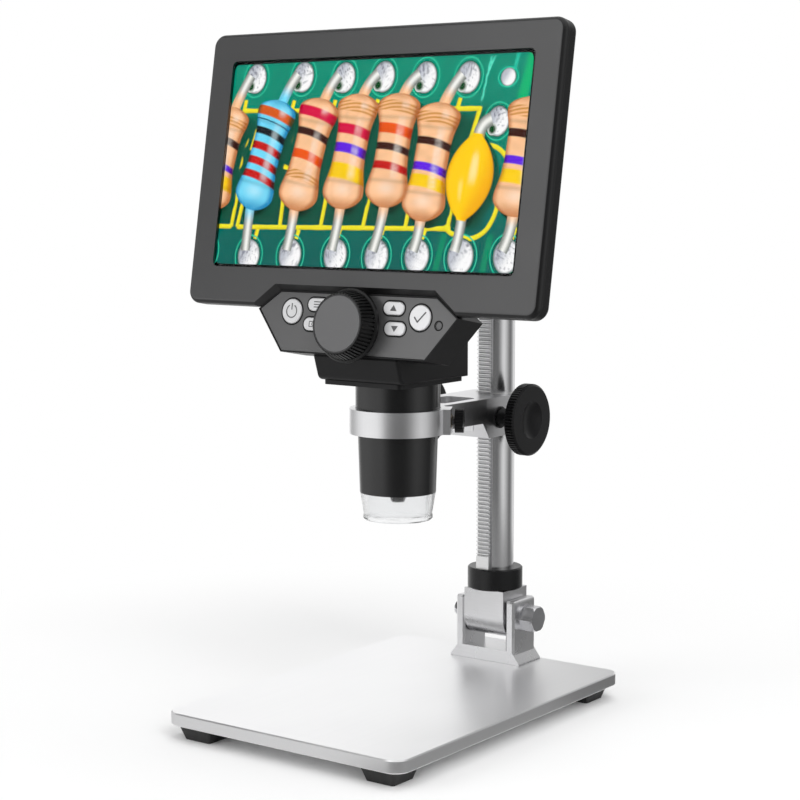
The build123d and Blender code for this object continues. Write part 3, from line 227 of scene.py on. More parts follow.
world = bpy.data.worlds.new("studio")
bpy.context.scene.world = world
world.use_nodes = True
tree = world.node_tree
tree.nodes.clear()
out = add(tree, "OutputWorld")
soft = add(tree, "Background", Color=(1, 1, 1, 1), Strength=SOFT_LEVEL)
white = add(tree, "Background", Color=(1, 1, 1, 1), Strength=1.0)
pick = add(tree, "MixShader")
tree.links.new(plain_rays(tree), pick.inputs[0])
join(tree, (soft, 0, pick, 1), (white, 0, pick, 2), (pick, 0, out, "Surface"))
print("world lights the object at", SOFT_LEVEL)

# %% Ring of soft boards, seen by mirrored rays alone
# each pair is a bearing in degrees and the tone there; between two pairs the tone runs evenly
BOARD_TONES = np.array([
    # behind on the left: white, which the plate's front left mirrors
    [-180, 1.0], [-152, 1.0], [-140, 0.4], [-125, 0.5], [-107, 0.8],
    # left: a wide white board, for the left half of every round piece and for the bezel
    [-92, 1.0], [-48, 1.0], [-40, 0.8], [-30, 0.4],
    # ahead: a dark one, which draws the dark line down the middle
    [-20, 0.2], [-8, 0.15], [18, 0.15],
    # right: a grey one that is lightest in its middle
    [34, 0.4], [50, 0.75], [60, 0.75], [76, 0.5], [88, 0.3],
    # far right: dark, which faces that look right mirror
    [97, 0.17], [108, 0.17], [118, 0.45], [126, 0.55],
    # behind on the right: pale, with a greyer board for the plate's back right
    [136, 0.85], [147, 0.85], [152, 0.5], [160, 0.55], [168, 0.7], [175, 0.95], [180, 1.0],
])
SHEET_TONES = np.array([
    [-180, 0.95], [-150, 0.9], [-120, 0.6], [-25, 0.6], [-10, 0.3], [0, 0.25], [85, 0.25],
    [100, 0.15], [118, 0.18], [150, 0.6], [165, 0.9], [180, 0.95],
])
# a panel that the display's side mirrors: how far it is there by bearing, and its tones
PANEL_SHARE = np.array([[-112, 0], [-96, 1], [-46, 1], [-36, 0]])
PANEL_TONES = np.array([[-82, 0.0], [-58, 1.8]])
PANEL_FROM, PANEL_FADE = 0.20, 0.03
RING_RADIUS, RING_HEIGHT, WHITENS_FROM = 0.40, 0.8, 0.35
SHEET_HEIGHT, SHEET_INNER = 0.0015, (0.064, 0.090)


def bearings(points):
    """Degrees round from the camera's side, -180 to 180, positive towards the object's right."""
    turned_to = np.degrees(np.arctan2(points[:, 0], -points[:, 1])) - math.degrees(AZIMUTH)
    return (turned_to + 180) % 360 - 180


def corners_of(piece):
    """All corner points of a mesh as an array (n, 3)."""
    where = np.zeros(len(piece.data.vertices) * 3)
    piece.data.vertices.foreach_get("co", where)
    return where.reshape(-1, 3)


def board_level(where):
    """The upright board's tone: by bearing, whiter high up, and the panel's own where that is."""
    bearing, height = bearings(where), where[:, 2]
    level = np.interp(bearing, *BOARD_TONES.T)
    level = level + (1.0 - level) * np.clip((height - WHITENS_FROM) / (RING_HEIGHT - WHITENS_FROM), 0, 1)
    panel = np.interp(bearing, *PANEL_SHARE.T) * np.clip((height - PANEL_FROM) / PANEL_FADE, 0, 1)
    return level * (1 - panel) + np.interp(bearing, *PANEL_TONES.T) * panel


def sheet_level(where):
    """The low sheet's tone, by bearing alone."""
    return np.interp(bearings(where), *SHEET_TONES.T)


# the board is a cylinder, (R sin a, -R cos a, height); the sheet runs from a box round the plate out to it
heading = AZIMUTH + np.radians(np.linspace(-180, 180, 241))
x_way, y_way = np.sin(heading), -np.cos(heading)
rise = np.linspace(0.0, RING_HEIGHT, 33)[:, None]
ring = np.stack(np.broadcast_arrays(RING_RADIUS * x_way, RING_RADIUS * y_way, rise), -1)
upright = surface("boards", ring)
to_side = SHEET_INNER[0] / np.maximum(np.abs(x_way), 1e-6)
to_end = SHEET_INNER[1] / np.maximum(np.abs(y_way), 1e-6)
out_by = np.linspace(0, 1, 7)[:, None]
reach = np.minimum(to_side, to_end) * (1 - out_by) + RING_RADIUS * out_by
lying = surface("low_sheet", np.stack([reach * x_way, reach * y_way, np.full_like(reach, SHEET_HEIGHT)], -1))

board_paint = bpy.data.materials.new("soft boards")
tree, out = bare_tree(board_paint)
glow = add(tree, "Emission")
read = add(tree, "Attribute")
read.attribute_name = "tone"
join(tree, (read, "Fac", glow, "Strength"), (glow, 0, out, "Surface"))
for board, level_at in ((upright, board_level), (lying, sheet_level)):
    level = level_at(corners_of(board))
    board.data.attributes.new("tone", "FLOAT", "POINT").data.foreach_set("value", level)
    board.data.materials.append(board_paint)
    for ray in ("camera", "diffuse", "transmission", "volume_scatter", "shadow"):
        setattr(board, "visible_" + ray, False)
    print(board.name, "tones from", level.min().round(2), "to", level.max().round(2))

# %% Lamps
def lamp(name, place, aim, size, power):
    """A square lamp at place that shines on aim; it isn't mirrored, because the boards are."""
    data = bpy.data.lights.new(name, "AREA")
    data.shape, data.size, data.energy = "SQUARE", size, power
    thing = bpy.data.objects.new(name, data)
    bpy.context.scene.collection.objects.link(thing)
    thing.location = place
    thing.rotation_euler = (Vector(aim) - Vector(place)).to_track_quat("-Z", "Y").to_euler()
    thing.visible_glossy = False


lamp("key lamp", (1.1, -0.7, 1.1), (0, 0, 0.18), 0.9, 11.0)
lamp("fill lamp", (-0.9, -1.1, 0.7), (0, 0, 0.18), 0.9, 4.0)
lamp("top lamp", (0.1, 0.2, 1.5), (0, 0, 0.1), 1.0, 5.0)
bpy.context.scene.view_settings.view_transform = "Standard"
print("studio ready")

# %% [markdown]
# ## Shader groups that several finishes share
#
# Moulded plastic has a very fine grain, drawn and brushed metal has lines that run one way, and
# everything that is handled has smudges. Some parts are sprayed on one face only, and the rack's
# tooth gaps get painted shade, so a fourth group finds such a part of a surface: it is 1 ahead of
# a plane and within a radius of an axis. Each group is built once and puts out masks and normals,
# and every material places it with its own numbers.

# %% Group helper
def group(name, inputs, outputs):
    """A new shader group with named sockets; returns it with its input and output nodes."""
    made = bpy.data.node_groups.new(name, "ShaderNodeTree")
    for label, kind, value in inputs:
        socket = made.interface.new_socket(name=label, in_out="INPUT", socket_type=kind)
        if value is not None:
            socket.default_value = value
    for label, kind in outputs:
        made.interface.new_socket(name=label, in_out="OUTPUT", socket_type=kind)
    return made, made.nodes.new("NodeGroupInput"), made.nodes.new("NodeGroupOutput")


FLOAT, VECTOR = "NodeSocketFloat", "NodeSocketVector"

# %% Moulded grain
grain, enter, leave = group(
    "Moulded grain",
    [("Vector", VECTOR, None), ("Scale", FLOAT, 3000.0), ("Height", FLOAT, 0.00002)],
    [("Mask", FLOAT), ("Normal", VECTOR)],
)
speckle = add(grain, "TexNoise", Detail=3.0, Roughness=0.6)
press = add(grain, "Bump", Strength=1.0)
join(grain, (enter, "Vector", speckle, "Vector"), (enter, "Scale", speckle, "Scale"),
     (speckle, "Fac", press, "Height"), (enter, "Height", press, "Distance"),
     (speckle, "Fac", leave, "Mask"), (press, "Normal", leave, "Normal"))

# %% Brushed lines
brushed, enter, leave = group(
    "Brushed lines",
    [("Vector", VECTOR, None), ("Lines", VECTOR, (1500.0, 8.0, 1500.0)), ("Height", FLOAT, 0.00001)],
    [("Mask", FLOAT), ("Normal", VECTOR)],
)
stretch = add(brushed, "VectorMath", "MULTIPLY")
lines = add(brushed, "TexNoise", Scale=1.0, Detail=4.0, Roughness=0.65)
press = add(brushed, "Bump", Strength=1.0)
join(brushed, (enter, "Vector", stretch, 0), (enter, "Lines", stretch, 1), (stretch, 0, lines, "Vector"),
     (lines, "Fac", press, "Height"), (enter, "Height", press, "Distance"),
     (lines, "Fac", leave, "Mask"), (press, "Normal", leave, "Normal"))

# %% Smudges from handling
smudges, enter, leave = group(
    "Smudges",
    [("Vector", VECTOR, None), ("Scale", FLOAT, 30.0), ("From", FLOAT, 0.3), ("To", FLOAT, 0.4)],
    [("Mask", FLOAT), ("Roughness", FLOAT)],
)
clouds = add(smudges, "TexNoise", Detail=5.0, Distortion=0.6)
spread = add(smudges, "MapRange", From_Min=0.35, From_Max=0.65)
ramp = add(smudges, "MapRange")
join(smudges, (enter, "Vector", clouds, "Vector"), (enter, "Scale", clouds, "Scale"),
     (clouds, "Fac", spread, "Value"), (spread, "Result", ramp, "Value"),
     (enter, "From", ramp, "To Min"), (enter, "To", ramp, "To Max"),
     (spread, "Result", leave, "Mask"), (ramp, "Result", leave, "Roughness"))

# %% Painted zone
painted, enter, leave = group(
    "Painted zone",
    [("Vector", VECTOR, None), ("Origin", VECTOR, (0.0, 0.0, 0.0)), ("Direction", VECTOR, (0.0, 0.0, 1.0)),
     ("From", FLOAT, 0.0), ("To", FLOAT, 0.0001), ("Radius", FLOAT, 10.0)],
    [("Mask", FLOAT)],
)
arm_to = add(painted, "VectorMath", "SUBTRACT")
along = add(painted, "VectorMath", "DOT_PRODUCT")
beside = add(painted, "VectorMath", "CROSS_PRODUCT")
reach_out = add(painted, "VectorMath", "LENGTH")
ahead = add(painted, "MapRange")
inside = add(painted, "Math", "LESS_THAN")
joined = add(painted, "Math", "MULTIPLY")
join(painted, (enter, "Vector", arm_to, 0), (enter, "Origin", arm_to, 1),
     (arm_to, 0, along, 0), (enter, "Direction", along, 1),
     (arm_to, 0, beside, 0), (enter, "Direction", beside, 1), (beside, 0, reach_out, 0),
     (along, "Value", ahead, "Value"), (enter, "From", ahead, "From Min"), (enter, "To", ahead, "From Max"),
     (reach_out, "Value", inside, 0), (enter, "Radius", inside, 1),
     (ahead, "Result", joined, 0), (inside, 0, joined, 1), (joined, 0, leave, "Mask"))
print("groups:", [g.name for g in bpy.data.node_groups])

# %% [markdown]
# ## One recipe for a finish
#
# A finish here is two close tones of one colour mixed by its grain, a roughness that wanders
# with the smudges, and the grain's own normal. Values that are the same all over, such as
# metallic or the strength of a coat, are set on the shader itself.

# %% Finish helper
def place_group(tree, source, spot, **values):
    """Puts a shader group into a material, gives it Object coordinates from spot, and sets its inputs."""
    node = add(tree, "Group")
    node.node_tree = source
    for label, value in values.items():
        node.inputs[label].default_value = value
    join(tree, (spot, "Object", node, "Vector"))
    return node


def colour_mix(tree):
    """A node that mixes the colours A and B by its Factor."""
    node = add(tree, "Mix")
    node.data_type = "RGBA"
    return node


def finish(name, dark, light, pattern, pattern_values, rough, metal=0.0, smudge_scale=30.0,
           zone=None, elsewhere=None, **uniform):
    """A principled material: colour mixed from dark to light by the pattern's mask, roughness by the smudges.

    With a zone, that colour holds only inside the zone, and the single colour elsewhere outside it.
    What is the same all over, such as Specular_IOR_Level, is set on the shader itself.
    """
    material = bpy.data.materials.new(name)
    tree, out = bare_tree(material)
    shader = add(tree, "BsdfPrincipled", Metallic=metal, **uniform)
    spot = add(tree, "TexCoord")
    marks = place_group(tree, pattern, spot, **pattern_values)
    hands = place_group(tree, smudges, spot, Scale=smudge_scale, From=rough[0], To=rough[1])
    tones = colour_mix(tree)
    tones.inputs["A"].default_value = (*dark, 1)
    tones.inputs["B"].default_value = (*light, 1)
    join(tree, (marks, "Mask", tones, "Factor"))
    coloured = tones
    if zone is not None:
        area = place_group(tree, painted, spot, **zone)
        coloured = colour_mix(tree)
        coloured.inputs["A"].default_value = (*elsewhere, 1)
        join(tree, (area, "Mask", coloured, "Factor"), (tones, "Result", coloured, "B"))
    join(tree, (coloured, "Result", shader, "Base Color"), (hands, "Roughness", shader, "Roughness"),
         (marks, "Normal", shader, "Normal"), (shader, 0, out, "Surface"))
    return material


def dress(material, *names):
    """Gives a finish to solid parts by name."""
    for name in names:
        nodes[name].material_slots[0].material = material
    print(material.name, "->", ", ".join(names))


# %% [markdown]
# ## Aluminium
#
# The plate is brushed along its length, the column is drawn, so its lines run up, and the arm,
# clevis and knuckle are cut from one extruded section and left satin. They are one metal in
# three finishes: only the lines' direction and the roughness differ. The rack is bright on its
# tooth tips, and the gaps between them are coloured darker as painted shade.

# %% Aluminium finishes
plate_metal = finish(
    "brushed plate", (0.92, 0.92, 0.925), (0.97, 0.97, 0.975), brushed,
    {"Lines": (1400.0, 10.0, 1400.0), "Height": 0.000008}, (0.30, 0.36), metal=1.0, smudge_scale=14.0)
column_metal = finish(
    "drawn column", (0.80, 0.80, 0.81), (0.88, 0.88, 0.89), brushed,
    {"Lines": (1800.0, 1800.0, 6.0), "Height": 0.000003}, (0.17, 0.22), metal=1.0, smudge_scale=25.0)
arm_metal = finish(
    "satin arm", (0.78, 0.78, 0.79), (0.86, 0.86, 0.87), brushed,
    {"Lines": (1200.0, 1200.0, 30.0), "Height": 0.000004}, (0.27, 0.33), metal=1.0, smudge_scale=25.0)
clevis_metal = finish(
    "satin clevis", (0.76, 0.76, 0.77), (0.84, 0.84, 0.85), brushed,
    {"Lines": (40.0, 1400.0, 1400.0), "Height": 0.000006}, (0.24, 0.32), metal=1.0, smudge_scale=40.0)
tooth_tips = corners_of(nodes["column_rack"])[:, 1].min()
# painted shade: below the tooth tips the rack is coloured darker, standing for the shade in the gaps between
# the teeth
tip_zone = {"Origin": (0, tooth_tips, 0), "Direction": (0, -1, 0), "From": -0.0014, "To": -0.0010}
rack_metal = finish(
    "cut rack", (0.90, 0.90, 0.90), (0.97, 0.97, 0.97), brushed,
    {"Lines": (30.0, 1500.0, 1500.0), "Height": 0.000006}, (0.30, 0.38), metal=1.0, smudge_scale=60.0,
    zone=tip_zone, elsewhere=(0.52, 0.52, 0.53))
dress(plate_metal, "base_plate")
dress(column_metal, "column_tube")
dress(arm_metal, "arm_carriage")
dress(clevis_metal, "clevis_bracket", "tilt_knuckle")
dress(rack_metal, "column_rack")

# %% [markdown]
# ## Steel, brass and the black collar
#
# Screws are zinc plated and a little dull, the pivot bolt is polished, the thumb screw runs in a
# brass insert, and the collar is aluminium with a black anodised skin smooth enough to gleam.

# %% Other metals
zinc = finish(
    "zinc plate", (0.50, 0.51, 0.54), (0.66, 0.66, 0.67), grain,
    {"Scale": 2500.0, "Height": 0.000006}, (0.28, 0.40), metal=1.0, smudge_scale=200.0)
bright_steel = finish(
    "bright steel", (0.70, 0.70, 0.72), (0.80, 0.80, 0.82), grain,
    {"Scale": 1200.0, "Height": 0.000003}, (0.14, 0.22), metal=1.0, smudge_scale=120.0)
shaft_steel = finish(
    "ground shaft", (0.60, 0.60, 0.62), (0.72, 0.72, 0.73), brushed,
    {"Lines": (2500.0, 60.0, 60.0), "Height": 0.000003}, (0.18, 0.26), metal=1.0, smudge_scale=120.0)
brass = finish(
    "turned brass", (0.62, 0.44, 0.18), (0.76, 0.58, 0.28), brushed,
    {"Lines": (2500.0, 80.0, 80.0), "Height": 0.000004}, (0.25, 0.35), metal=1.0, smudge_scale=120.0)
anodised = finish(
    "black anodised", (0.003, 0.003, 0.0032), (0.008, 0.008, 0.0085), brushed,
    {"Lines": (120.0, 120.0, 2500.0), "Height": 0.000004}, (0.20, 0.26), smudge_scale=80.0,
    Specular_IOR_Level=0.42)
dress(zinc, "foot_screws", "clevis_screws", "collar_screw", "tension_screw", "cover_screws",
      "housing_screws")
dress(bright_steel, "pivot_bolt", "pivot_nut", "pivot_washers", "usb_socket", "card_socket")
dress(shaft_steel, "pinion_shaft", "focus_shaft")
dark_steel = finish(
    "blackened steel", (0.020, 0.020, 0.021), (0.045, 0.045, 0.047), grain,
    {"Scale": 1600.0, "Height": 0.000004}, (0.30, 0.42), metal=0.7, smudge_scale=150.0)
dress(brass, "focus_bush", "clamp_insert")
dress(anodised, "column_collar")
dress(dark_steel, "pinion_bushes")

# %% [markdown]
# ## Plastic and rubber
#
# The shells are black and satin. The barrel is the smoothest of them and the back cover has the
# strongest grain. The bezel's front is sprayed a dark grey, the fascia a lighter one, and the
# keys are silver.

# %% Plastics
shell_black = finish(
    "shell black", (0.004, 0.004, 0.0045), (0.009, 0.009, 0.0095), grain,
    {"Scale": 4200.0, "Height": 0.000010}, (0.38, 0.46), Specular_IOR_Level=0.28)
barrel_black = finish(
    "barrel black", (0.003, 0.003, 0.0032), (0.006, 0.006, 0.0063), brushed,
    {"Lines": (60.0, 60.0, 3000.0), "Height": 0.000002}, (0.20, 0.26), Specular_IOR_Level=0.62)
knob_black = finish(
    "knob black", (0.004, 0.004, 0.0045), (0.009, 0.009, 0.0095), grain,
    {"Scale": 3500.0, "Height": 0.000006}, (0.30, 0.38), smudge_scale=60.0, Specular_IOR_Level=0.22)
rubber = finish(
    "foot rubber", (0.010, 0.010, 0.010), (0.024, 0.024, 0.024), grain,
    {"Scale": 2200.0, "Height": 0.000020}, (0.58, 0.72), smudge_scale=90.0)
OUTWARDS = tuple(ON_FACE[:, 2])
# painted reflection: the grey holds on the bezel's flat front alone, so its rounded edge takes the shell's
# black, which stands for the dark that rounding mirrors; the sides are the shell's own black
front_zone = {"Origin": tuple(FACE_MIDDLE), "Direction": OUTWARDS, "From": -0.00016, "To": -0.00008}
fascia_zone = {"Origin": tuple(FACE_MIDDLE), "Direction": OUTWARDS, "From": -0.0037, "To": -0.0036}
knob_axis = FACE_MIDDLE - KNOB_DROP * ON_FACE[:, 1]
disc_zone = {"Origin": tuple(knob_axis), "Direction": OUTWARDS, "From": 0.0077, "To": 0.0079,
             "Radius": 0.01195}
bezel_grey = finish(
    "bezel grey", (0.050, 0.050, 0.051), (0.060, 0.060, 0.061), grain,
    {"Scale": 5200.0, "Height": 0.000006}, (0.34, 0.40), zone=front_zone, elsewhere=(0.004, 0.004, 0.0045),
    Specular_IOR_Level=0.5)
fascia_grey = finish(
    "fascia grey", (0.066, 0.066, 0.067), (0.080, 0.080, 0.081), grain,
    {"Scale": 5200.0, "Height": 0.000004}, (0.30, 0.36), zone=fascia_zone, elsewhere=(0.008, 0.008, 0.0085),
    Specular_IOR_Level=1.0)
dial_grey = finish(
    "focus dial", (0.106, 0.106, 0.108), (0.124, 0.124, 0.126), grain,
    {"Scale": 3500.0, "Height": 0.000004}, (0.34, 0.42), zone=disc_zone, elsewhere=(0.005, 0.005, 0.0052),
    smudge_scale=60.0, Specular_IOR_Level=0.36)
key_silver = finish(
    "key silver", (0.68, 0.68, 0.69), (0.78, 0.78, 0.79), grain,
    {"Scale": 4000.0, "Height": 0.000003}, (0.28, 0.34), metal=0.45, smudge_scale=200.0)
acetal = finish(
    "white acetal", (0.72, 0.72, 0.69), (0.78, 0.78, 0.75), grain,
    {"Scale": 1800.0, "Height": 0.000008}, (0.35, 0.45))
board_green = finish(
    "board green", (0.010, 0.085, 0.040), (0.020, 0.140, 0.065), grain,
    {"Scale": 900.0, "Height": 0.000012}, (0.28, 0.40), smudge_scale=120.0)
foil = finish(
    "battery foil", (0.28, 0.30, 0.34), (0.36, 0.38, 0.42), grain,
    {"Scale": 500.0, "Height": 0.000060}, (0.30, 0.45), metal=0.6, smudge_scale=60.0)
panel_black = finish(
    "panel black", (0.002, 0.002, 0.002), (0.003, 0.003, 0.003), grain,
    {"Scale": 1500.0, "Height": 0.000002}, (0.30, 0.40), Specular_IOR_Level=0.05)
smoked_lens = finish(
    "smoked lens", (0.090, 0.090, 0.092), (0.110, 0.110, 0.112), grain,
    {"Scale": 2000.0, "Height": 0.000002}, (0.12, 0.18), smudge_scale=300.0)
dress(shell_black, "rear_cover", "keypad_housing", "neck_housing", "neck_plate", "column_cap")
dress(barrel_black, "barrel_sleeve", "lens_carrier", "lens_nose")
dress(knob_black, "knob_left", "knob_right", "clamp_screw")
dress(dial_grey, "focus_knob")
dress(rubber, "foot_front_left", "foot_front_right", "foot_rear_left", "foot_rear_right")
dress(bezel_grey, "display_bezel")
dress(fascia_grey, "keypad_fascia")
dress(key_silver, "power_button", "ok_button", "menu_button", "mode_button", "up_button", "down_button")
dress(acetal, "column_liner")
dress(board_green, "led_board", "keypad_board", "mainboard", "sensor_board")
dress(foil, "battery_pack")
dress(panel_black, "lcd_panel")
dress(smoked_lens, "indicator_lens")

# %% [markdown]
# ## Clear parts and the lamps
#
# The window is coated glass that hardly mirrors, hence its low index. The lens is plain glass,
# and the hood is clear moulded plastic with a faint haze, so that its rim catches the light. The
# lamps inside it are off, and only show their yellow cores.

# %% Clear finishes
WAVE_SCALE = 180.0


def clear(name, glass, rough, height, index):
    """A transmitting principled material with a faint moulded wave in its normal and a plain roughness."""
    material = bpy.data.materials.new(name)
    tree, out = bare_tree(material)
    shader = add(tree, "BsdfPrincipled", Base_Color=(*glass, 1), Roughness=rough, IOR=index,
                 Transmission_Weight=1.0)
    marks = place_group(tree, grain, add(tree, "TexCoord"), Scale=WAVE_SCALE, Height=height)
    join(tree, (marks, "Normal", shader, "Normal"), (shader, 0, out, "Surface"))
    return material


window_glass = clear("window glass", (1.0, 1.0, 1.0), 0.0, 0.0, 1.12)
hood_clear = clear("clear hood", (0.93, 0.935, 0.94), 0.14, 0.00001, 1.49)
lens_glass = clear("lens glass", (0.96, 0.98, 0.99), 0.0, 0.0, 1.55)
dress(window_glass, "screen_window")
dress(hood_clear, "tip_hood")
dress(lens_glass, "objective_lens")

lamp_body = finish(
    "lamp body", (0.80, 0.78, 0.60), (0.92, 0.90, 0.74), grain,
    {"Scale": 900.0, "Height": 0.000004}, (0.20, 0.30), smudge_scale=300.0)
dress(lamp_body, "led_lamps")

# %% [markdown]
# ## Signs, outlines and other fine pieces
#
# The keys carry printed signs, and round each key a flat dark ring of painted shade stands for the
# shadow in its gap. Ink has no thickness worth modelling, so a sign is a flat ribbon a twentieth of
# a millimetre above its key. It rides on that key's own body, so it goes in when the key is pressed.

# %% Ribbons on the display's face
# depths in mm behind the display's front: the keys' tops and the fascia, less the ink's lift
KEY_PRINT = 2.9 - 0.05
FASCIA_PRINT = 3.5 - 0.04


def on_face(points, depth):
    """Points (..., 2) in mm across and up the face, at a depth in mm behind its front, in metres."""
    points = np.asarray(points, float)
    flat = np.concatenate([points, np.full((*points.shape[:-1], 1), -depth)], -1) / 1000
    return placed(flat, ON_FACE, FACE_MIDDLE)


def facing_out(patch):
    """Faces over a grid of flat points (rows, columns, 2), each wound to look out of the face.

    Twice a face's area is the sum of two cross products. Where it is negative the face is
    turned over, and where it is nothing the face is left out.
    """
    rows, columns = patch.shape[:2]
    r, c = np.meshgrid(np.arange(rows - 1), np.arange(columns - 1), indexing="ij")
    first = r * columns + c
    quads = np.stack([first, first + 1, first + columns + 1, first + columns], -1).reshape(-1, 4)
    corner = patch.reshape(-1, 2)[quads]
    across = corner[:, 2] - corner[:, 0]
    area = np.cross(corner[:, 1] - corner[:, 0], across) + np.cross(across, corner[:, 3] - corner[:, 0])
    quads[area < 0] = quads[area < 0][:, ::-1]
    return quads[np.abs(area) > 1e-8]


def flat_piece(name, patches):
    """One piece from flat patches, each a grid of points (rows, columns, 2) in mm and a depth in mm."""
    verts, faces, start = [], [], 0
    for points, depth in patches:
        verts.append(on_face(points, depth).reshape(-1, 3))
        faces += (facing_out(points) + start).tolist()
        start += len(verts[-1])
    mesh = bpy.data.meshes.new(name)
    mesh.from_pydata(np.concatenate(verts), [], faces)
    return linked(name, mesh)


def ribbon(path, half_width):
    """A flat band along a path: point = path + s * half_width * normal, where s is -1 or 1."""
    path = np.asarray(path, float)
    closed = np.allclose(path[0], path[-1])
    if closed:
        way = np.roll(path[:-1], -1, 0) - np.roll(path[:-1], 1, 0)
        way = np.r_[way, way[:1]]
    else:
        way = np.gradient(path, axis=0)
    way = way / np.linalg.norm(way, axis=1, keepdims=True)
    side = np.stack([way[:, 1], -way[:, 0]], -1)
    s = np.array([-1, 1])[None, :, None]
    return path[:, None] + s * half_width * side[:, None]


def round_path(middle, radius, start=0.0, stop=360.0, points=49):
    """Points on a circle: middle + radius (cos a, sin a), a from start to stop in degrees."""
    a = np.radians(np.linspace(start, stop, points))
    return np.stack([middle[0] + radius * np.cos(a), middle[1] + radius * np.sin(a)], -1)


def pill_path(middle, width, height):
    """The outline of a pill: two half circles of radius height / 2 joined by straight runs."""
    shift, r = (width - height) / 2, height / 2
    right = round_path((middle[0] + shift, middle[1]), r, -90, 90, 17)
    left = round_path((middle[0] - shift, middle[1]), r, 90, 270, 17)
    return np.r_[right, left, right[:1]]


def printed(name, bands, depth, body, material):
    """One printed piece from several ribbons at one depth."""
    keep(flat_piece(name, [(band, depth) for band in bands]), body, material)


sign_ink = finish(
    "sign ink", (0.075, 0.075, 0.078), (0.105, 0.105, 0.108), grain,
    {"Scale": 6000.0, "Height": 0.000003}, (0.40, 0.55), smudge_scale=300.0)
# painted shade: a near-black finish for the flat rings that stand for the shadow in the gaps round the keys
gap_shade_black = finish(
    "painted gap shade", (0.006, 0.006, 0.006), (0.012, 0.012, 0.012), grain,
    {"Scale": 4000.0, "Height": 0.000003}, (0.55, 0.65), smudge_scale=200.0, Specular_IOR_Level=0.2)

# %% Signs on the keys
POWER, CHECK = np.array([-33.2, -62.4]), np.array([33.2, -62.4])
MENU, UP = np.array([-19.7, -59.1]), np.array([19.7, -59.1])
MODE, DOWN = np.array([-21.1, -67.4]), np.array([21.1, -67.4])
INK = 0.24


def run(*corners):
    """A straight-edged path through corners, each run divided so a ribbon's bends stay square."""
    corners = np.asarray(corners, float)
    steps = [np.linspace(a, b, 9)[:-1] for a, b in zip(corners[:-1], corners[1:])]
    return np.concatenate([*steps, corners[-1:]])


printed("power_sign", [
    ribbon(round_path(POWER, 2.7, 118, 422), INK),
    ribbon(run(POWER + (0, 0.6), POWER + (0, 3.4)), INK),
], KEY_PRINT, "power_button", sign_ink)
printed("check_sign", [
    ribbon(run(CHECK + (-2.7, 0.2), CHECK + (-0.9, -1.9)), 0.32),
    ribbon(run(CHECK + (-1.1, -1.95), CHECK + (2.9, 2.4)), 0.32),
], KEY_PRINT, "ok_button", sign_ink)
printed("menu_sign", [
    ribbon(run(MENU + (-1.9, h), MENU + (1.9, h)), 0.2) for h in (-1.1, 0.0, 1.1)
], KEY_PRINT, "menu_button", sign_ink)
printed("mode_sign", [
    ribbon(run(*(MODE + np.array([(-2, -1.1), (2, -1.1), (2, 1.1), (-2, 1.1), (-2, -1.1)]))), 0.17),
    ribbon(round_path(MODE, 0.62), 0.16),
], KEY_PRINT, "mode_button", sign_ink)
for name, middle, flip in (("up", UP, 1), ("down", DOWN, -1)):
    wedge = np.array([
        [middle + (-1.7, -1.1 * flip), middle + (1.7, -1.1 * flip)],
        [middle + (-0.04, 1.3 * flip), middle + (0.04, 1.3 * flip)],
    ])
    printed(name + "_sign", [wedge], KEY_PRINT, name + "_button", sign_ink)

# %% Painted shade in the gaps round the keys and the indicator
ROUND_KEY, PILL_LENGTH, PILL_HEIGHT = 5.62, 11.2, 6.2
INDICATOR, INDICATOR_RADIUS = (42.4, -65.2), 1.85
# painted shade: flat dark rings on the fascia where the gaps round the keys and the indicator lie in shadow
gap_shades = [ribbon(round_path(m, ROUND_KEY), 0.34) for m in (POWER, CHECK)]
gap_shades += [ribbon(pill_path(m, PILL_LENGTH, PILL_HEIGHT), 0.32) for m in (MENU, UP, MODE, DOWN)]
gap_shades += [ribbon(round_path(INDICATOR, INDICATOR_RADIUS), 0.28)]
printed("key_gap_shades", gap_shades, FASCIA_PRINT, "head", gap_shade_black)

# %% Thread: a fine helical ridge on the thumb screw's neck
CLAMP_ANGLE = math.radians(30)
CLAMP_HEIGHT, NECK_START, NECK_LENGTH = 0.131, 0.0228, 0.0018
CORE_RADIUS, RIDGE, PITCH = 0.00206, 0.00022, 0.0005

outward = np.array([math.cos(CLAMP_ANGLE), math.sin(CLAMP_ANGLE), 0.0])
clamp_axes = np.stack([[0, 0, 1], np.cross(outward, [0, 0, 1]), outward], 1).astype(float)
clamp_start = BARREL_AXIS + (0, 0, CLAMP_HEIGHT) + NECK_START * outward

# radius = core + ridge * a triangle wave of (h / pitch - a / 2 pi), with h along the axis and a round it
h = np.linspace(0, NECK_LENGTH, math.ceil(NECK_LENGTH / PITCH * 12) + 1)[:, None]
a = np.linspace(0, 2 * math.pi, 48, endpoint=False)
phase = (h / PITCH - a / (2 * math.pi)) % 1.0
r = CORE_RADIUS + RIDGE * (1 - np.abs(2 * phase - 1))
helix = np.stack(np.broadcast_arrays(r * np.cos(a), r * np.sin(a), h), -1)
clamp_thread = surface("clamp_thread", placed(helix, clamp_axes, clamp_start), round_columns=True)
keep(clamp_thread, "clamp_screw", zinc)

# %% Yellow cores of the lamps
LAMPS, LAMP_CIRCLE = 8, 0.010
CORE_EDGE, CORE_TIP, CORE_GAP, CORE_SIDES = 0.0009, 0.0001, 0.00004, 16

low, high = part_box("led_lamps")
print("lamps between", [round(v, 4) for v in low], [round(v, 4) for v in high])
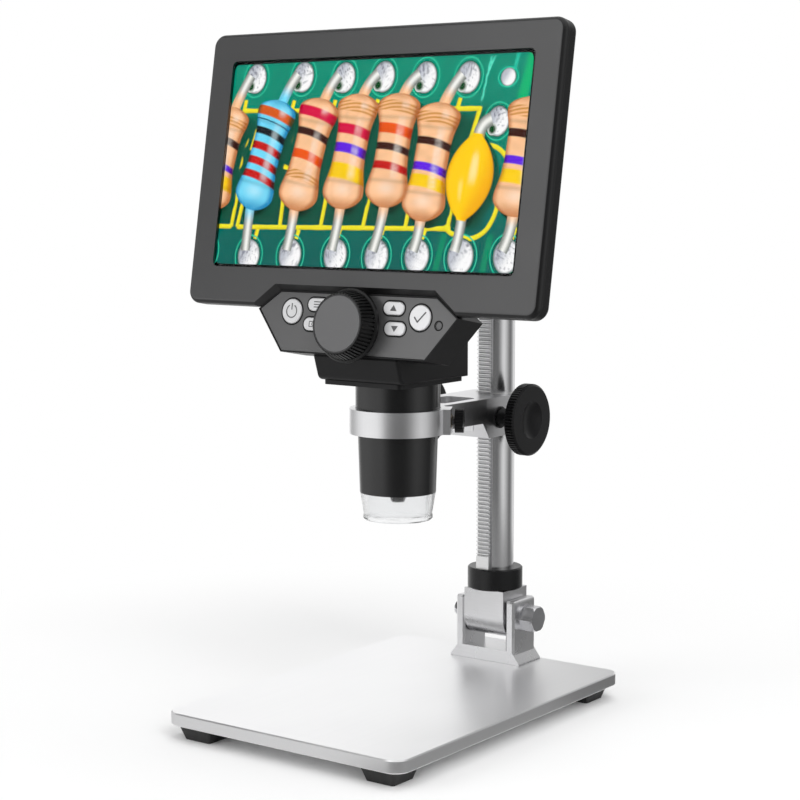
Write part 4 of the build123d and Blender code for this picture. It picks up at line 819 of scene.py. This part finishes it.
# a core is a shallow cone: its tip, then the edge's points (radius cos a, radius sin a, 0)
a = np.arange(CORE_SIDES) * 2 * math.pi / CORE_SIDES
edge = np.stack([CORE_EDGE * np.cos(a), CORE_EDGE * np.sin(a), 0 * a], -1)
cone = np.concatenate([[(0, 0, -CORE_TIP)], edge])
k = np.arange(CORE_SIDES)
sides = np.stack([0 * k, 1 + (k + 1) % CORE_SIDES, 1 + k], -1)
a = np.arange(LAMPS) * 2 * math.pi / LAMPS
places = np.stack([LAMP_CIRCLE * np.cos(a), LAMP_CIRCLE * np.sin(a), 0 * a + low[2] - CORE_GAP], -1)
verts = (BARREL_AXIS + places)[:, None] + cone
faces = np.arange(LAMPS)[:, None, None] * len(cone) + sides
mesh = bpy.data.meshes.new("lamp_cores")
mesh.from_pydata(verts.reshape(-1, 3), [], faces.reshape(-1, 3).tolist())
core_yellow = finish(
    "lamp phosphor", (0.80, 0.62, 0.05), (0.92, 0.76, 0.12), grain,
    {"Scale": 3000.0, "Height": 0.000004}, (0.35, 0.50), smudge_scale=400.0)
keep(linked("lamp_cores", mesh), "head", core_yellow)

# %% [markdown]
# ## The picture on the display
#
# The display shows what lies under the lens: a row of resistors on a green circuit board. A real
# screen is flat, so the picture is drawn as a stack of paper-thin strips and discs, each worked
# out on its own grid, and every point carries a colour. One glowing material reads that colour.
# Drawing it this way keeps it sharp from any distance, as a drawing in lines does.

# %% Picture tools
picture_layers = []
PICTURE_LOW, PICTURE_HIGH = np.array([-77.6, -43.4]), np.array([75.9, 43.5])
PICTURE_CORNER = 2.4
# layers of the stack, in mm behind the face's front, from the board forwards
BOARD_DEPTH, INK_DEPTH, SHADOW_DEPTH, RING_DEPTH = 1.96, 1.955, 1.952, 1.945
RIM_DEPTH, SOLDER_DEPTH, HOLE_DEPTH, WIRE_DEPTH, BODY_DEPTH = 1.940, 1.935, 1.932, 1.90, 1.84


def drawn(points, colours, depth):
    """Keeps a patch of the picture: points (rows, columns, 2) and a depth in mm, and each point's colour."""
    picture_layers.append((np.asarray(points, float), np.clip(np.asarray(colours, float), 0, 1), depth))


def tint(rgb):
    """A display colour 0..255 as linear light: (c / 255) to the power 2.2."""
    return (np.asarray(rgb, float) / 255) ** 2.2


def step(low, high, x):
    """0 below low, 1 above high, and a smooth S between: 3 u squared minus 2 u cubed."""
    u = np.clip((x - low) / (high - low), 0, 1)
    return u * u * (3 - 2 * u)


def blend(first, second, amount):
    """first where amount is 0, second where it is 1."""
    amount = np.asarray(amount)[..., None]
    return first * (1 - amount) + second * amount


def ripple(x, y, seed, size=6.0):
    """Soft unevenness between -1 and 1: five sine waves that cross each other, about size mm long."""
    rng = np.random.default_rng(seed)
    total = np.zeros(np.broadcast(x, y).shape)
    for _ in range(5):
        a, b, p = rng.normal(0, 3 / size), rng.normal(0, 3 / size), rng.uniform(0, 6.3)
        total = total + np.sin(a * x + b * y + p)
    return total / 5


# %% The board behind
gx, gy = np.meshgrid(np.linspace(0, 1, 240), np.linspace(0, 1, 140))
gx = PICTURE_LOW[0] + gx * (PICTURE_HIGH[0] - PICTURE_LOW[0])
gy = PICTURE_LOW[1] + gy * (PICTURE_HIGH[1] - PICTURE_LOW[1])
past_left, past_right = PICTURE_LOW[0] + PICTURE_CORNER - gx, gx - PICTURE_HIGH[0] + PICTURE_CORNER
corner_x = np.clip(np.maximum(past_left, past_right), 0, None)
pull = PICTURE_CORNER - np.sqrt(np.clip(PICTURE_CORNER**2 - corner_x**2, 0, None))
gy = np.clip(gy, PICTURE_LOW[1] + pull, PICTURE_HIGH[1] - pull)
teal = blend(tint((0, 96, 88)), tint((0, 138, 112)), step(-44, 44, gy))
teal = teal * (1 + 0.10 * ripple(gx, gy, 3, 14.0))[..., None]
shade_row = step(-30, -23, gy) * (1 - step(16, 26, gy)) * (1 - step(56, 62, gx))
teal = blend(teal, tint((0, 66, 44)), 0.80 * shade_row)


def trace(top, bottom, half):
    """A copper trace under the green: 1 near the line from bottom to top, 0 further than half away."""
    (x1, y1), (x0, y0) = top, bottom
    middle = x0 + (gy - y0) * (x1 - x0) / (y1 - y0)
    near = 1 - step(half * 0.7, half, np.abs(gx - middle))
    return near * step(y0 - 1, y0, gy) * (1 - step(y1, y1 + 1, gy))


for top, bottom, half, rgb in (
        ((76.0, 44), (72.4, 26), 2.6, (0, 178, 112)), ((68.9, 43.4), (67.6, 37.5), 1.0, (30, 190, 160)),
        ((56.0, 42), (53.6, 25.4), 0.42, (90, 235, 205)), ((57.6, 42), (55.2, 36), 0.42, (90, 235, 205)),
        ((41.8, -29), (39.0, -44), 1.5, (0, 140, 100)), ((63.9, -29), (61.6, -44), 1.5, (0, 140, 100))):
    teal = blend(teal, tint(rgb), trace(top, bottom, half))
drawn(np.stack([gx, gy], -1), teal, BOARD_DEPTH)


# %% Strips and discs
def bent(*points):
    """A straight path between two points, or a quadratic curve through three, drawn towards the second."""
    points = np.asarray(points, float)
    t = np.linspace(0, 1, 24)[:, None]
    if len(points) == 2:
        return points[0] + (points[1] - points[0]) * t
    return (1 - t) ** 2 * points[0] + 2 * t * (1 - t) * points[1] + t**2 * points[2]


def strip(path, width, colour_at, depth, across=9, along=40, rough=0.0, seed=0):
    """A strip of points path(t) + s * width(t) * normal(t), s from -1 to 1, coloured by colour_at(t, s)."""
    path = np.asarray(path, float)
    steps = np.r_[0, np.cumsum(np.linalg.norm(np.diff(path, axis=0), axis=1))]
    t = np.linspace(0, 1, along)
    x = np.interp(t * steps[-1], steps, path[:, 0])
    y = np.interp(t * steps[-1], steps, path[:, 1])
    way = np.stack([np.gradient(x), np.gradient(y)], -1)
    way = way / np.linalg.norm(way, axis=1, keepdims=True)
    normal = np.stack([way[:, 1], -way[:, 0]], -1)
    half = width(t) if callable(width) else np.full_like(t, width)
    half = half + rough * np.random.default_rng(seed).uniform(-1, 1, along)
    s = np.linspace(-1, 1, across)
    points = np.stack([x, y], -1)[:, None] + s[None, :, None] * half[:, None, None] * normal[:, None]
    drawn(points, colour_at(*np.meshgrid(t, s, indexing="ij")), depth)


def disc(middle, radius, colour_at, depth, hole=0.0, tall=1.0, rows=14):
    """A disc or ring of points middle + r (cos a, tall sin a); colour_at(r / radius, a) is its colour."""
    r, a = np.meshgrid(np.linspace(hole, 1, rows), np.linspace(0, 2 * math.pi, 73), indexing="ij")
    points = np.stack([middle[0] + radius * r * np.cos(a), middle[1] + tall * radius * r * np.sin(a)], -1)
    drawn(points, colour_at(r, a), depth)


def plain(rgb):
    """One colour all over a patch."""
    return lambda t, s: np.broadcast_to(tint(rgb), (*t.shape, 3))


def soft_shadow(t, s):
    """Dark green that fades into the board towards the strip's right edge."""
    return blend(tint((0, 44, 26)), tint((0, 84, 64)), step(0.35, 1.0, s))


def wire(skin, covered):
    """Tinned wire, light in the middle, that wears the body's paint over the covered part of its length."""
    def colour_at(t, s):
        metal = blend(tint((112, 118, 112)), tint((246, 246, 240)), np.exp(-((s + 0.05) / 0.55) ** 2))
        paint = tint(skin) * (0.82 + 0.30 * np.exp(-((s - 0.1) / 0.5) ** 2))[..., None]
        return blend(paint, metal, step(covered - 0.25, covered + 0.20, t))
    return colour_at


def solder(seed, speckled):
    """A shiny blob: white at its lower right, grey and speckled at its upper left, with a darker rim."""
    def colour_at(r, a):
        x, y = r * np.cos(a), r * np.sin(a)
        base = blend(tint((186, 190, 200)), tint((250, 250, 250)), step(-0.7, 0.5, x - 0.6 * y))
        spots = step(0.05, 0.45, ripple(x, y, seed, 0.22)) * step(-0.3, 0.5, y - 0.4 * x) * speckled
        base = blend(base, tint((108, 110, 124)), 0.75 * spots)
        flecks = step(0.25, 0.55, ripple(x, y, seed + 50, 0.14)) * speckled
        base = blend(base, tint((132, 134, 144)), 0.50 * flecks)
        return blend(base, tint((96, 112, 112)), 0.85 * step(0.82, 1.0, r))
    return colour_at


def joint(middle, radius, seed, hole_at=None):
    """A solder joint: a thin pale green ring, the blob, and for a top joint the dark hole of the wire."""
    disc(middle, radius * 1.30, plain((46, 200, 158)), RING_DEPTH, hole=0.93, tall=1.16, rows=3)
    disc(middle, radius * 1.06, plain((0, 92, 70)), RIM_DEPTH, hole=0.85, tall=1.16, rows=3)
    disc(middle, radius, solder(seed, 1.0), SOLDER_DEPTH, tall=1.16, rows=22)
    if hole_at is not None:
        def dark(r, a):
            return blend(tint((14, 66, 30)), tint((214, 220, 214)), step(0.45, 1.0, r))
        disc(np.asarray(middle) + hole_at, radius * 0.42, dark, HOLE_DEPTH, tall=1.1, rows=8)


print("picture tools ready")

# %% Resistors
BANDS = {
    "orange": (232, 84, 14), "rust": (214, 88, 26), "black": (22, 26, 30), "crimson": (212, 0, 66),
    "violet": (94, 32, 222), "yellow": (250, 204, 14), "gold": (206, 138, 62), "red": (196, 26, 22),
    "brown": (56, 22, 14), "line": (10, 80, 116),
}
# a body's paint: in the middle and at its sides
BEIGE = ((250, 194, 146), (186, 108, 56))
BLUE = ((112, 216, 246), (0, 128, 186))
# bottom and top of the body, lower and upper joint, paint, bands as (place up the body, half width, tone)
ROW = [
    ((-84.5, -20.0), (-76.5, 25.2), (-84, -38), (-65.0, 37.2), BEIGE,
     ((0.87, 0.043, "gold"), (0.68, 0.037, "brown"), (0.44, 0.031, "violet"), (0.30, 0.071, "yellow"))),
    ((-61.1, -19.7), (-50.2, 27.3), (-59.1, -39.5), (-38.9, 37.1), BLUE,
     ((0.88, 0.045, "rust"), (0.80, 0.006, "line"), (0.70, 0.034, "black"), (0.565, 0.037, "red"),
      (0.43, 0.037, "red"), (0.305, 0.037, "red"))),
    ((-36.5, -19.9), (-27.5, 27.7), (-36.3, -38.9), (-16.7, 36.2), BEIGE,
     ((0.87, 0.048, "crimson"), (0.69, 0.034, "brown"), (0.49, 0.043, "orange"), (0.31, 0.043, "gold"))),
    ((-12.1, -19.0), (-7.3, 29.1), (-12.1, -38.4), (3.8, 36.0), BEIGE,
     ((0.89, 0.051, "gold"), (0.69, 0.048, "crimson"), (0.525, 0.045, "violet"), (0.325, 0.074, "yellow"))),
    ((10.5, -18.2), (13.6, 28.9), (9.2, -38.3), (24.9, 35.1), BEIGE,
     ((0.89, 0.051, "gold"), (0.69, 0.048, "orange"), (0.53, 0.034, "brown"), (0.365, 0.037, "red"))),
    ((29.5, -23.6), (34.1, 24.6), (29.5, -37.8), (46.0, 34.5), BEIGE,
     ((0.87, 0.051, "gold"), (0.67, 0.034, "brown"), (0.455, 0.037, "violet"), (0.335, 0.057, "yellow"))),
    ((73.5, -21.3), (77.5, 25.9), (72.2, -36.8), (90.0, 38.0), BEIGE,
     ((0.875, 0.051, "gold"), (0.69, 0.037, "brown"), (0.465, 0.037, "violet"), (0.33, 0.062, "yellow"))),
]


def body_width(t):
    """A body's half width: 8.4 mm, swelling by 2.3 mm at both ends, and closed by elliptic caps."""
    ends = np.exp(-((t - 0.15) / 0.15) ** 2) + np.exp(-((t - 0.88) / 0.12) ** 2)
    foot = np.sqrt(np.clip(1 - np.clip((0.14 - t) / 0.14, 0, 1) ** 2, 0, 1))
    head = np.sqrt(np.clip(1 - np.clip((t - 0.90) / 0.10, 0, 1) ** 2, 0, 1))
    return (8.4 + 2.3 * ends) * np.clip(foot * head, 0.20, 1)


def resistor(base, tip, low_joint, high_joint, paint, bands, seed):
    """One resistor: a shadow, two wires, two joints and a painted body with a gleam right of its middle."""
    base, tip = np.asarray(base, float), np.asarray(tip, float)
    low_joint, high_joint = np.asarray(low_joint, float), np.asarray(high_joint, float)
    skin, side = paint

    def colour_at(t, s):
        skin_tone = tint(skin)
        gleam = step(-0.05, 0.20, s) * (1 - step(0.30, 0.62, s))
        gleam = gleam * step(0.22, 0.32, t) * (1 - step(0.72, 0.84, t))
        gleam = gleam + step(0.05, 0.25, s) * (1 - step(0.35, 0.60, s)) * np.exp(-((t - 0.90) / 0.035) ** 2)
        gleam = gleam * (0.75 + 0.45 * ripple(7 * s, 60 * t, seed + 9, 3.0))
        for place, half, tone in bands:
            middle = place - 0.020 * (s + 0.15) ** 2 - 0.018 * s
            on = 1 - step(half * 0.80, half * 1.05, np.abs(t - middle))
            strength = 0.55 + 0.45 * np.sin(190 * t + 9 * s * s + seed) if tone == "gold" else 1.0
            skin_tone = blend(skin_tone, tint(BANDS[tone]), on * strength)
        body = 1 + 0.10 * ripple(9 * s, 48 * t, seed, 4.0)
        necks = np.exp(-((t - 0.79) / 0.018) ** 2) + np.exp(-((t - 0.235) / 0.018) ** 2)
        skin_tone = skin_tone * (body * (1 - 0.22 * necks))[..., None]
        edge = step(0.66, 1.0, np.abs(s + 0.06)) + 0.75 * (1 - step(0.01, 0.13, t))
        edge = np.clip(edge + 0.55 * step(0.93, 1.0, t), 0, 0.92)
        skin_tone = blend(skin_tone, skin_tone * (tint(side) / tint(skin)), edge)
        white = tint((226, 250, 255) if paint is BLUE else (255, 246, 236))
        skin_tone = blend(skin_tone, white, np.clip(0.46 * gleam, 0, 1))
        bulb = np.exp(-((s + 0.05) / 0.42) ** 2 - ((t - 0.17) / 0.055) ** 2)
        return blend(skin_tone, white, 0.38 * bulb)

    strip([base + (2.6, -2.6), tip + (3.2, -2.0)], body_width, soft_shadow, SHADOW_DEPTH, along=60)
    lower = bent(low_joint + (-2.2, 2.0), base + (-0.3, -7.0), base + (0.2, 2.0))[::-1]
    upper = bent(tip + (0.6, -2.5), tip + (3.4, 5.0), high_joint + (-2.8, 1.4))
    strip(lower, 2.5, wire(skin, 0.25), WIRE_DEPTH, along=24)
    strip(upper, 2.6, wire(skin, 0.45), WIRE_DEPTH, along=24)
    strip([base, tip], body_width, colour_at, BODY_DEPTH, across=33, along=170)
    joint(low_joint, 6.0, seed)
    joint(high_joint, 5.6, seed + 20, hole_at=(-2.6, -3.4))


for number, row in enumerate(ROW):
    resistor(*row, number)

# %% Capacitor and a lone joint
cap_base, cap_tip = np.array([49.2, -23.1]), np.array([53.4, 11.8])


def cap_width(t):
    """A lens-shaped body: half width = 11.2 sin(pi t) to the power 0.62, never under 2.4 mm."""
    return np.clip(11.2 * np.sin(math.pi * np.clip(t, 0, 1)) ** 0.62, 2.4, None)


def cap_colour(t, s):
    """Glossy yellow, more orange at its lower right, with one long gleam and one faint one."""
    skin = blend(tint((255, 206, 0)), tint((244, 160, 0)), 0.7 * step(0.1, 1.0, s + 0.5 - t))
    skin = blend(skin, tint((214, 140, 0)), 0.8 * step(0.84, 1.0, np.abs(s)))
    high = np.exp(-((s - 0.12) / 0.17) ** 4 - ((t - 0.61) / 0.17) ** 4)
    low = np.exp(-((s + 0.32) / 0.10) ** 4 - ((t - 0.34) / 0.12) ** 4)
    return blend(blend(skin, tint((255, 232, 160)), 0.80 * high), tint((255, 226, 130)), 0.55 * low)


strip([cap_base + (2.8, -2.4), cap_tip + (3.0, -2.0)], cap_width, soft_shadow, SHADOW_DEPTH, along=60)
lower = bent((47.6, -35.5), (49.4, -28.0), cap_base + (0.3, 2))
upper = bent(cap_tip + (0.2, -2), cap_tip + (0.6, 4.0), (59.2, 17.6))
strip(lower, 2.4, wire((240, 240, 234), 0.0), WIRE_DEPTH, along=20)
strip(upper, 2.8, wire((250, 200, 20), 0.15), WIRE_DEPTH, along=20)
strip([cap_base, cap_tip], cap_width, cap_colour, BODY_DEPTH, across=33, along=110)
joint((50.7, -37.6), 6.2, 40)
joint((62.2, 16.6), 5.2, 41, hole_at=(-2.4, -3.2))
disc((65.0, 34.1), 5.0, plain((40, 196, 160)), RING_DEPTH, hole=0.86, tall=0.86, rows=3)
disc((65.0, 34.1), 3.5, solder(44, 0.2), SOLDER_DEPTH, tall=1.05)

# %% Yellow outlines on the board
SILK, SILK_DEEP = (238, 228, 44), (206, 186, 10)
STROKE_HALF, STROKE_ROUGH = 0.98, 0.12
STROKES = [
    [(-77.6, -27.1), (-70.6, -27.2)], [(-67.4, -27.3), (44.6, -26.4)], [(-70.7, -27.2), (-68.9, -12)],
    [(-67.4, -27.3), (-65.4, -16)], [(-43.5, -26.8), (-43.1, -14)], [(-21.4, -26.5), (-19.9, -14)],
    [(0.8, -26.1), (2.6, -14)], [(22.3, -26.3), (23.4, -17)], [(43.2, -25.9), (44.5, -15)],
    [(-55.5, -28.0), (-56.6, -32.3)], [(-32.9, -28.0), (-33.9, -31.9)], [(-10.9, -27.6), (-11.8, -31.4)],
    [(11.3, -27.4), (9.9, -31.3)], [(32.3, -27.0), (31.1, -30.9)], [(74.8, -27.1), (73.9, -30.4)],
    [(-70.1, 23.3), (-40.2, 22.8), (53.4, 21.8)],
    [(-69.4, 28.0), (-70.1, 23.0)], [(-42.4, 27.2), (-43.5, 23.0)],
    [(-20.2, 26.9), (-21.2, 22.8)], [(2.0, 26.7), (1.0, 22.6)], [(43.2, 26.3), (42.1, 22.0)],
    [(53.2, 22.6), (49.8, 9.0)], [(70.4, -26.3), (75.9, -26.4)], [(-40.6, 14.4), (-44.2, 6.8)],
    [(-61.4, 15.0), (-63.8, 6.0)],
    [(-42.2, -1.8), (-46.0, -0.6), (-47.4, -7.4)], [(-20.6, 7.0), (-22.4, -2.0)],
    [(-77.4, -13.0), (-76.0, -5.9), (-71.6, -9.9), (-77.4, -10.4)],
]
CURVES = [
    bent((57.4, 7.0), (63.4, 7.6), (68.0, 2.0)), bent((48.4, -28.6), (55.0, -32.6), (61.6, -26.6)),
    bent((61.6, -26.6), (64.8, -22.6), (65.8, -17.0)), bent((41.6, -25.0), (44.0, -29.0), (48.4, -28.6)),
]


def ink(t, s):
    """Printed yellow, deeper towards its lower edge, a little uneven."""
    return blend(tint(SILK), tint(SILK_DEEP), 0.8 * step(-0.2, 1.0, s) * (0.8 + 0.2 * np.sin(60 * t)))


for number, path in enumerate(STROKES):
    strip(run(*path), STROKE_HALF, ink, INK_DEPTH, across=5, along=60, rough=STROKE_ROUGH, seed=number)
for number, path in enumerate(CURVES):
    strip(path, STROKE_HALF, ink, INK_DEPTH, across=5, along=60, rough=STROKE_ROUGH, seed=70 + number)
for middle, radius, tall in (((-69.4, 10.8), 3.6, 1.15), ((-71.8, 1.2), 4.0, 1.05)):
    disc(middle, radius, lambda r, a: ink(a, 2 * r - 1), INK_DEPTH, hole=0.56, tall=tall, rows=5)
print("picture patches:", len(picture_layers))

# %% Join the patches
picture = flat_piece("screen_picture", [
    (np.clip(points, PICTURE_LOW, PICTURE_HIGH), depth) for points, colours, depth in picture_layers])
paint = np.concatenate([colours.reshape(-1, 3) for points, colours, depth in picture_layers])
tones = picture.data.color_attributes.new("picture", "FLOAT_COLOR", "POINT")
tones.data.foreach_set("color", np.concatenate([paint, np.ones((len(paint), 1))], 1).ravel())

picture_light = bpy.data.materials.new("lit picture")
tree, out = bare_tree(picture_light)
shader = add(tree, "BsdfPrincipled", Base_Color=(0.004, 0.004, 0.004, 1), Roughness=0.6,
             Specular_IOR_Level=0.0, Emission_Strength=1.0)
read = add(tree, "VertexColor")
read.layer_name = "picture"
join(tree, (read, "Color", shader, "Emission Color"), (shader, 0, out, "Surface"))
keep(picture, "head", picture_light)
